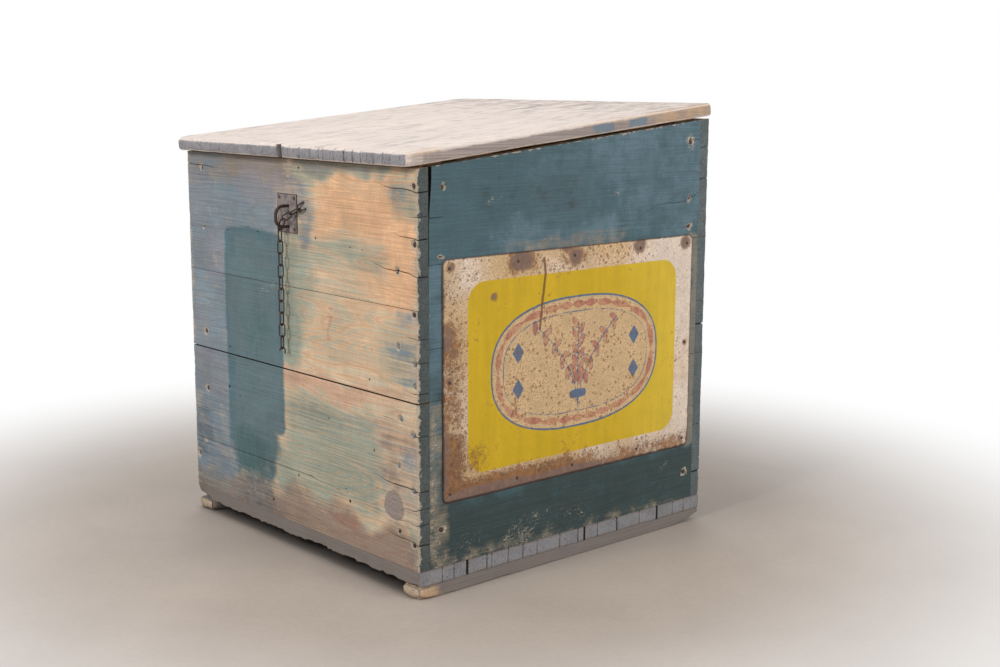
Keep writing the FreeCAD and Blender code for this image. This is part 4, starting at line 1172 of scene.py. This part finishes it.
class BREADBOX_OT_lid(bpy.types.Operator):
    """Lid: two silvered boards with rounded edges, and the battens under them"""
    bl_idname = "breadbox.lid"
    bl_label = "Lid and battens"

    def execute(self, context):
        axes = lid_axes()
        for number, side in enumerate(("left", "right")):
            node = "lid_board_" + side
            world, faces, fields, flat = board(
                node, axes, 6.0, size_mm("lid_arris"), size_mm("lid_wear"), LID_CRACKS[side],
                worn=(WORN, WORN) + ((JOINT, WORN) if side == "left" else (WORN, JOINT)) + (WORN, WORN),
                marks=LID_MARKS[side], extra=bullnose, plan=LID_CORNERS[side], seed=80 + number)
            u, v, t = flat.T
            # Painted shade on the faces where the two lid boards meet, less of it by the front notch, and a dark
            # line along the top of the joint further back.
            at_joint = v < 0.01 if side == "left" else v > v.max() - 0.01
            fields["hollow"] *= np.where(at_joint, 0.46 + 0.54 * smooth(8, 24, u), 1)
            fields["under"] = 0.8 * smooth(3, 0.5, t) * smooth(20, 40, np.minimum(u, u.max() - u))
            from_joint = v if side == "left" else v.max() - v
            fields["hollow"] = np.maximum(fields["hollow"],
                                          smooth(1.8, 0.8, from_joint) * smooth(400, 470, u))
            by_edge = smooth(16, 2, v) * (side == "right")
            beside = smooth(4, 1, v) * smooth(17, 11, t) * (side == "right")
            fields["grime"] = beside * np.interp(u, [0, 50, 120, 450, 480, 606],
                                                 [0.45, 0.55, 1.0, 1.0, 0.3, 0.1])
            fields["grime"] = np.maximum(fields["grime"], 0.34 * smooth(300, 560, u))
            fields["rub"] = by_edge * np.interp(u, [0, 60, 110, 240, 370, 460, 480, 606],
                                                [0.5, 0.45, 0.25, 0.3, 0.5, 0.6, 1.0, 1.0])
            fields["paint"] = 0.85 * by_edge * (smooth(325, 355, u) * smooth(400, 380, u)
                                                + smooth(405, 425, u) * smooth(470, 445,
                                                                               u)) * smooth(17, 12, t)
            world[:, 2] = np.minimum(world[:, 2], CAD_BOX[1][2])  # the boards' corners are sharp by the joint
            finish_piece(make_mesh("visual_" + node, world, faces, fields), "lid", "lid_wood",
                         material("silvered_pine_lid"), node)
        for number, place in enumerate(("front", "back")):
            node = "lid_batten_" + place
            world, faces, fields, flat = board(
                node, [-axes[1], axes[0], axes[2]], 10.0, 1.0, 1.0, seed=90 + number)
            finish_piece(make_mesh("visual_" + node, world, faces, fields), "lid", "inside_wood",
                         material("bare_pine_batten"), node)
        return {"FINISHED"}


# Tin sign. Its places are wall depth and height in mm

PANEL = (86.0, 508.0, 122.0, 390.0, 30.0)  # front, back, bottom, top and corner radius
MEDAL = (297.0, 256.0, 168.0, 96.0)  # middle, then half its length and height
MEDAL_POWER = 2.5
SIGN_CORNER = 10.0
SIGN_STEP = 2.2
STREAK = [(227, 412), (230, 390), (224, 350), (220, 312)]
EARS = [(-80.0, 30.0), (0.0, 0.0), (80.0, -30.0)]  # how far each ear's tip leans, in mm and degrees

SIGN_RUST = [(30, 80, 180, 345, 40, 0.62), (30, 84, 80, 190, 40, 0.95), (30, 300, 80, 118, 30, 0.95),
             (70, 120, 116, 170, 40, 0.55), (240, 560, 80, 116, 30, 0.62), (30, 70, 340, 425, 30, 0.4),
             (150, 225, 390, 440, 40, 0.45), (260, 330, 392, 440, 36, 0.4), (430, 560, 80, 112, 20, 0.45)]
SIGN_STAINS = [(185, 412, 26, 18, 1.0), (291, 411, 15, 15, 1.0), (276, 424, 26, 6, 0.8),
               (426, 416, 14, 12, 0.95),
               (528, 413, 13, 12, 0.95), (56, 413, 9, 8, 0.9), (54, 259, 7, 7, 0.8), (532, 256, 6, 6, 0.8),
               (45, 150, 12, 80, 0.72), (48, 318, 14, 24, 0.85), (60, 296, 8, 10, 0.7),
               (120, 92, 110, 15, 1.05), (270, 91, 120, 12, 1.0), (400, 86, 60, 8, 0.7),
               (134, 366, 8, 7, 0.8), (529, 101, 8, 8, 0.7), (420, 94, 6, 6, 0.7), (177, 97, 8, 8, 0.8)]


def stain(a, b, row):
    """An oval that is 1 in its middle and fades out at its edge."""
    middle_a, middle_b, half_a, half_b, weight = row
    return weight * (1 - smooth(0.45, 1.35, np.hypot((a - middle_a) / half_a, (b - middle_b) / half_b)))


def oval(a, b, half_a, half_b, power):
    """Distance to the curve |a/A|^n + |b/B|^n = 1: its value less 1, over the length of its gradient."""
    x, y = np.abs(a) / half_a + 1e-6, np.abs(b) / half_b + 1e-6
    value = (x ** power + y ** power) ** (1 / power)
    slope = value ** (1 - power) * np.hypot(x ** (power - 1) / half_a, y ** (power - 1) / half_b)
    return (value - 1) / slope


def polyline(a, b, points):
    """Distance to a line through points: the least of the distances to its runs."""
    least = np.full(len(a), np.inf)
    for (a0, b0), (a1, b1) in itertools.pairwise(points):
        share = ((a - a0) * (a1 - a0) + (b - b0) * (b1 - b0)) / ((a1 - a0) ** 2 + (b1 - b0) ** 2)
        share = np.clip(share, 0, 1)
        least = np.minimum(least, np.hypot(a - a0 - share * (a1 - a0), b - b0 - share * (b1 - b0)))
    return least


def wheat_ear(a, b, lean, turn):
    """An ear of wheat in the medallion's places: a bowed stem, and grains by turns on its two sides."""
    heights = np.linspace(-72, 58, 15)
    bow = lean * ((heights + 72) / 130) ** 2
    grains = np.full(len(a), np.inf)
    for k, (height, middle) in enumerate(zip(heights[5:], bow[5:])):
        side = (-1) ** k
        tilt = math.radians(90 - turn - side * 30)
        da, db = a - middle - side * 6.2, b - height
        x = da * math.cos(tilt) + db * math.sin(tilt)
        y = -da * math.sin(tilt) + db * math.cos(tilt)
        grains = np.minimum(grains, oval(x, y, 10.0, 4.4, 2.0))
    return grains, polyline(a, b, list(zip(bow, heights))) - 0.9


def sign_fields(a, b):
    """Distances in mm to the sign's printed shapes, and how rusty each place is."""
    x, y = a - MEDAL[0], b - MEDAL[1]
    medal = oval(x, y, MEDAL[2], MEDAL[3], MEDAL_POWER)
    ears = [wheat_ear(x, y, lean, turn) for lean, turn in EARS]
    tie = rounded_box(x, y, -17, 17, -54, -42, 5)
    lozenges = [(np.abs(x - cx) / 11 + np.abs(y - cy) / 15 - 1) * 8 for cx in (-118, 118) for cy in (-26, 26)]
    frames = [np.abs(medal) - 1.5, np.abs(medal + 22) - 0.9]
    band = np.abs(medal + 11.5) - 1.2 - 4.4 * np.abs(np.sin(11 * np.arctan2(y, x)))
    grains = np.minimum.reduce([ear[0] for ear in ears])
    figure = np.minimum(grains, band)
    lines = np.minimum.reduce([np.abs(grains) - 0.7] + [ear[1] for ear in ears] + frames + lozenges + [tie])
    return {
        "panel": rounded_box(a, b, *PANEL), "medal": medal, "figure": figure, "lines": lines,
        "rust": functools.reduce(np.maximum, [soft_box(a, b, patch) for patch in SIGN_RUST]),
        "bare": functools.reduce(np.maximum, [stain(a, b, row) for row in SIGN_STAINS]),
        # bleach rises from 0 at 330 mm to 1 at 540 mm towards the sheet's right.
        "run": polyline(a, b, STREAK) - 2.2, "bleach": smooth(330, 540, a),
    }


class BREADBOX_OT_sign(bpy.types.Operator):
    """Printed tin sign: a thin sheet that has buckled between its nails, with a wheat design of no maker"""
    bl_idname = "breadbox.sign"
    bl_label = "Tin sign"

    def execute(self, context):
        low, high = (np.array(corner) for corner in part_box("sign"))
        size = ((high - low) / MM)[[1, 2, 0]]
        even = [np.linspace(0, length, round(length / SIGN_STEP) + 1) for length in size[:2]]
        flat, quads = block(even[0], even[1], np.array([0, size[2]]))
        heads = (nails_of("sign_nails")[:, [1, 2]] - low[[1, 2]]) / MM
        away = np.min([np.hypot(flat[:, 0] - u, flat[:, 1] - v) for u, v in heads], axis=0)
        loose = 0.5 + 0.5 * noise(flat, 85.0, 5)
        edge = smooth(30, 0, flat[:, 0]) * (0.5 + 0.5 * np.sin(flat[:, 1] / 21.0))
        points = round_corners(flat, size, [SIGN_CORNER] * 4)
        points[:, 2] += size_mm("sign_buckle") * smooth(5, 34, away) * np.maximum(loose, edge)
        fields = sign_fields((low[1] - ORIGIN[1]) / MM + points[:, 0],
                             (low[2] - ORIGIN[2]) / MM + points[:, 1])
        inside = -rounded_box(points[:, 0], points[:, 1], 0, size[0], 0, size[1], SIGN_CORNER)
        # rim: distance in from the edge, shrunk along the front and lower edges so that the dark rim, rust and
        # painted shadow of the gap, is wider there.
        fields["rim"] = np.where(np.minimum(points[:, 0], points[:, 1]) < 6, 0.6, 1.0) * inside
        world = low + points[:, [2, 0, 1]] * MM
        finish_piece(make_mesh("visual_sign", world, [quads], fields), "root", "sign_tin",
                     material("printed_tinplate"), "sign")
        return {"FINISHED"}


# Nails and iron

NAIL_SIDES = 16
HEAD_PROFILE = [(0.0, 0.0), (0.45, -0.06), (0.8, -0.22), (0.97, -0.55), (1.0, -0.85), (0.93, -1.1)]


def lathed_nails(node, sink):
    """Nails turned about their own axes: a domed head, a shank and a point. Radii are shares of the
    head's, heights are mm below its top; each head is dented by noise and a little out of round."""
    rows = nails_of(node)
    top, out, length, head, shank = rows[:, :3], rows[:, 3:6], rows[:, 6], rows[:, 7], rows[:, 8]
    across = np.cross(out, np.where(np.abs(out[:, 2:]) > 0.5, [[1.0, 0, 0]], [[0, 0, 1.0]]))
    across /= np.linalg.norm(across, axis=1, keepdims=True)
    up = np.cross(out, across)
    ones = np.ones(len(rows))
    radii = [share * head for share, depth in HEAD_PROFILE[1:]] + [shank, shank, 0.2 * ones]
    depths = [depth * ones for share, depth in HEAD_PROFILE[1:]] + [-1.25 * ones, 3 - length, -length]
    radius, depth = np.stack(radii, 1), np.stack(depths, 1)
    angle = np.arange(NAIL_SIDES) * 2 * math.pi / NAIL_SIDES
    ring = (across[:, None] * np.cos(angle)[:, None] + up[:, None] * np.sin(angle)[:, None])[:, None]
    points = top[:, None, None] + (ring * radius[..., None, None]
                                   + out[:, None, None] * depth[..., None, None]) * MM
    flat = points.reshape(-1, 3)
    dent = 0.16 * noise(flat / MM, 2.2, 4) * np.repeat(depth.ravel() > -0.9, NAIL_SIDES)
    flat = flat - np.repeat(out, len(radii) * NAIL_SIDES, 0) * (sink + np.maximum(dent, 0))[:, None] * MM
    poles = np.concatenate([top - out * sink * MM, top - out * (length[:, None] + sink) * MM])
    grid = np.arange(len(flat)).reshape(len(rows), len(radii), NAIL_SIDES)
    turned = np.roll(grid, -1, 2)
    quads = np.stack([grid[:, :-1], grid[:, 1:], turned[:, 1:], turned[:, :-1]], -1).reshape(-1, 4)
    first = np.broadcast_to(len(flat) + np.arange(len(rows))[:, None], grid[:, 0].shape)
    last = first + len(rows)
    fans = np.concatenate([np.stack([first, grid[:, 0], turned[:, 0]], -1).reshape(-1, 3),
                           np.stack([last, turned[:, -1], grid[:, -1]], -1).reshape(-1, 3)])
    return np.concatenate([flat, poles]), [quads, fans]


NAIL_GROUPS = {  # node: body and whether its heads lie below the face
    "wall_nails": ("root", True), "floor_nails": ("root", False), "batten_nails": ("lid", False),
    "plate_nails": ("root", False), "sign_nails": ("root", False),
}


class BREADBOX_OT_nails(bpy.types.Operator):
    """Wrought nails with dented, rusty heads"""
    bl_idname = "breadbox.nails"
    bl_label = "Nails"

    def execute(self, context):
        for node, (body, sunk) in NAIL_GROUPS.items():
            points, faces = lathed_nails(node, size_mm("nail_sink") if sunk else 0.0)
            wall = (points - ORIGIN) / MM
            covered = (wall[:, 1] < 10) & (wall[:, 0] > 300) & (wall[:, 2] > 55) & (wall[:, 2] < 310) & sunk
            finish_piece(make_mesh("visual_" + node, points, faces, {"rusty": np.where(covered, 0.3, 1.0)}),
                         body, "nail_steel", material("rusted_nail_steel"), node)
        return {"FINISHED"}


class BREADBOX_OT_plate(bpy.types.Operator):
    """Thin plate behind the padlock staple, painted over with the wall"""
    bl_idname = "breadbox.plate"
    bl_label = "Staple plate"

    def execute(self, context):
        world, faces, fields, flat = board("staple_plate", FRONT_AXES, 3.0, 0.25, 0.2, nails="plate_nails",
                                           crater=0.0, seed=95)
        finish_piece(make_mesh("visual_staple_plate", world, faces, fields), "root", "plate_steel",
                     material("painted_steel_plate"), "staple_plate")
        return {"FINISHED"}


class BREADBOX_OT_ironwork(bpy.types.Operator):
    """Finishes for the staple, the chain and the hinges, whose shapes are the frame's own"""
    bl_idname = "breadbox.ironwork"
    bl_label = "Ironwork"

    def execute(self, context):
        for node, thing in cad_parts.items():
            if node.startswith(("chain", "padlock")):
                thing.material_slots[0].material = material("wrought_iron")
            elif node.startswith("hinge"):
                thing.material_slots[0].material = material("rusted_hinge_steel")
        return {"FINISHED"}


# Studio

CAMERA_PLACE = (1.7513, -1.4278, 0.7004)
CAMERA_TURN = 48.28  # degrees from looking along +Y towards -X
CAMERA_TILT = 10.08  # degrees below the horizon
CAMERA_ROLL = 0.25
FOCAL_LENGTH = 51.34
SENSOR = 36.0
FLOOR_REACH = 14.0
FLOOR_SIDES = 48
FADE = (0.5, 1.25)  # distances over which the floor turns white
LAMPS = [  # name, place, side length, watts
    ("key", (0.3, -3.1, 2.1), 0.9, 62.0),
    ("fill", (3.0, 0.5, 1.4), 1.6, 46.0),
    ("top", (-0.3, -0.3, 3.0), 2.2, 32.0),
    ("back", (-2.2, 2.0, 2.0), 2.0, 16.0),
]
LAMP_AIM = (0.0, 0.0, 0.3)
SKY = 0.22


def make_camera():
    camera = bpy.data.objects.new("camera", bpy.data.cameras.new("camera"))
    camera.data.lens = FOCAL_LENGTH
    camera.data.sensor_width = SENSOR
    turn, tilt, roll = (math.radians(a) for a in (CAMERA_TURN, 90 - CAMERA_TILT, CAMERA_ROLL))
    camera.matrix_world = (Matrix.Translation(CAMERA_PLACE) @ Matrix.Rotation(turn, 4, "Z")
                           @ Matrix.Rotation(tilt, 4, "X") @ Matrix.Rotation(roll, 4, "Z"))
    bpy.context.scene.collection.objects.link(camera)
    bpy.context.scene.camera = camera


def shown_white(tree, plain, share, kind):
    """White for the camera, for mirrors and for glass, by the given share; the plain shader for the rest."""
    rays = add(tree, "LightPath").outputs
    seen = larger(tree, rays["Is Camera Ray"], rays["Is Glossy Ray"], rays["Is Transmission Ray"])
    white = add(tree, kind, links={"Color": (1, 1, 1, 1), "Strength": 1.0})
    return add(tree, "MixShader",
               links={0: product(tree, seen, share), 1: plain, 2: white.outputs[0]}).outputs[0]


def make_floor():
    """A pale concrete floor that turns white some way off, so that it has no edge."""
    angle = np.arange(FLOOR_SIDES) * 2 * math.pi / FLOOR_SIDES
    ring = np.column_stack([np.cos(angle), np.sin(angle), 0 * angle]) * FLOOR_REACH
    k = np.arange(FLOOR_SIDES)
    fan = np.stack([0 * k, k + 1, (k + 1) % FLOOR_SIDES + 1], 1)
    floor = make_mesh("floor", np.concatenate([np.zeros((1, 3)), ring]), [fan])
    made, tree, shader = new_material("polished_concrete")
    place = add(tree, "TexCoord").outputs["Object"]
    cloud = grain(tree, place, (260.0, 260.0, 260.0), 5.0, 0.6)
    sand = grain(tree, place, (9.0, 9.0, 9.0), 4.0, 0.6)
    skin = tone(tree, tone(tree, colour("floor"), cloud, 0.93, 1.06), sand, 0.97, 1.025)
    # Painted shadow under the box: near-black from 35 mm inside its footprint, gone 4 mm outside it.
    split = add(tree, "SeparateXYZ", links={0: place}).outputs
    outside = [sum_of(tree, add(tree, "Math", {"operation": "ABSOLUTE"}, {0: split[k]}).outputs[0],
                      (1.0, -half * MM)) for k, half in enumerate((WIDTH / 2, DEPTH / 2))]
    skin = blend(tree, over(tree, larger(tree, *outside), -0.035, 0.004, 0.82, 0.0), skin, linear("#15110e"))
    tree.links.new(skin, shader.inputs["Base Color"])
    shader.inputs["Roughness"].default_value = 0.7
    away = add(tree, "VectorMath", {"operation": "LENGTH"}, {0: place}).outputs["Value"]
    mixed = shown_white(tree, shader.outputs[0], over(tree, away, *FADE), "Emission")
    output = next(node for node in tree.nodes if node.type == "OUTPUT_MATERIAL")
    tree.links.new(mixed, output.inputs["Surface"])
    floor.data.materials.append(made)


def make_lamps():
    for name, place, side, watts in LAMPS:
        lamp = bpy.data.objects.new("lamp_" + name, bpy.data.lights.new("lamp_" + name, "AREA"))
        lamp.data.shape = "SQUARE"
        lamp.data.size = side
        lamp.data.energy = watts
        aim = (Vector(LAMP_AIM) - Vector(place)).to_track_quat("-Z", "Y")
        lamp.matrix_world = Matrix.Translation(place) @ aim.to_matrix().to_4x4()
        bpy.context.scene.collection.objects.link(lamp)
    world = bpy.data.worlds.new("studio")
    bpy.context.scene.world = world
    world.use_nodes = True
    tree = world.node_tree
    tree.nodes.clear()
    sky = add(tree, "Background", links={"Color": (1, 1, 1, 1), "Strength": SKY})
    add(tree, "OutputWorld", links={"Surface": shown_white(tree, sky.outputs[0], 1.0, "Background")})
    bpy.context.scene.view_settings.view_transform = "Standard"


class BREADBOX_OT_stage(bpy.types.Operator):
    """Studio floor, soft lamps and the camera"""
    bl_idname = "breadbox.stage"
    bl_label = "Studio"

    def execute(self, context):
        make_camera()
        make_floor()
        make_lamps()
        return {"FINISHED"}


class BREADBOX_PT_panel(bpy.types.Panel):
    """Lists what makes the box, with its sizes and colours"""
    bl_label = "Bread box"
    bl_idname = "BREADBOX_PT_panel"
    bl_space_type = "VIEW_3D"
    bl_region_type = "UI"
    bl_category = "Bread box"

    def draw(self, context):
        for operator in OPERATORS:
            self.layout.operator(operator.bl_idname)
        for group in (context.scene.bread_box_sizes, context.scene.bread_box_colours):
            box = self.layout.box()
            for key in group.__annotations__:
                box.prop(group, key)


OPERATORS = (BREADBOX_OT_stage, BREADBOX_OT_front_wall, BREADBOX_OT_side_walls, BREADBOX_OT_frame_wood,
             BREADBOX_OT_lid, BREADBOX_OT_sign, BREADBOX_OT_nails, BREADBOX_OT_plate, BREADBOX_OT_ironwork)
CLASSES = (BoxSizes, BoxColours) + OPERATORS + (BREADBOX_PT_panel,)


def register():
    for one in CLASSES:
        bpy.utils.register_class(one)
    bpy.types.Scene.bread_box_sizes = bpy.props.PointerProperty(type=BoxSizes)
    bpy.types.Scene.bread_box_colours = bpy.props.PointerProperty(type=BoxColours)


def unregister():
    del bpy.types.Scene.bread_box_colours
    del bpy.types.Scene.bread_box_sizes
    for one in reversed(CLASSES):
        bpy.utils.unregister_class(one)


def main():
    register()
    for operator in OPERATORS:
        group, name = operator.bl_idname.split(".")
        getattr(getattr(bpy.ops, group), name)()


if __name__ == "__main__":
    main()
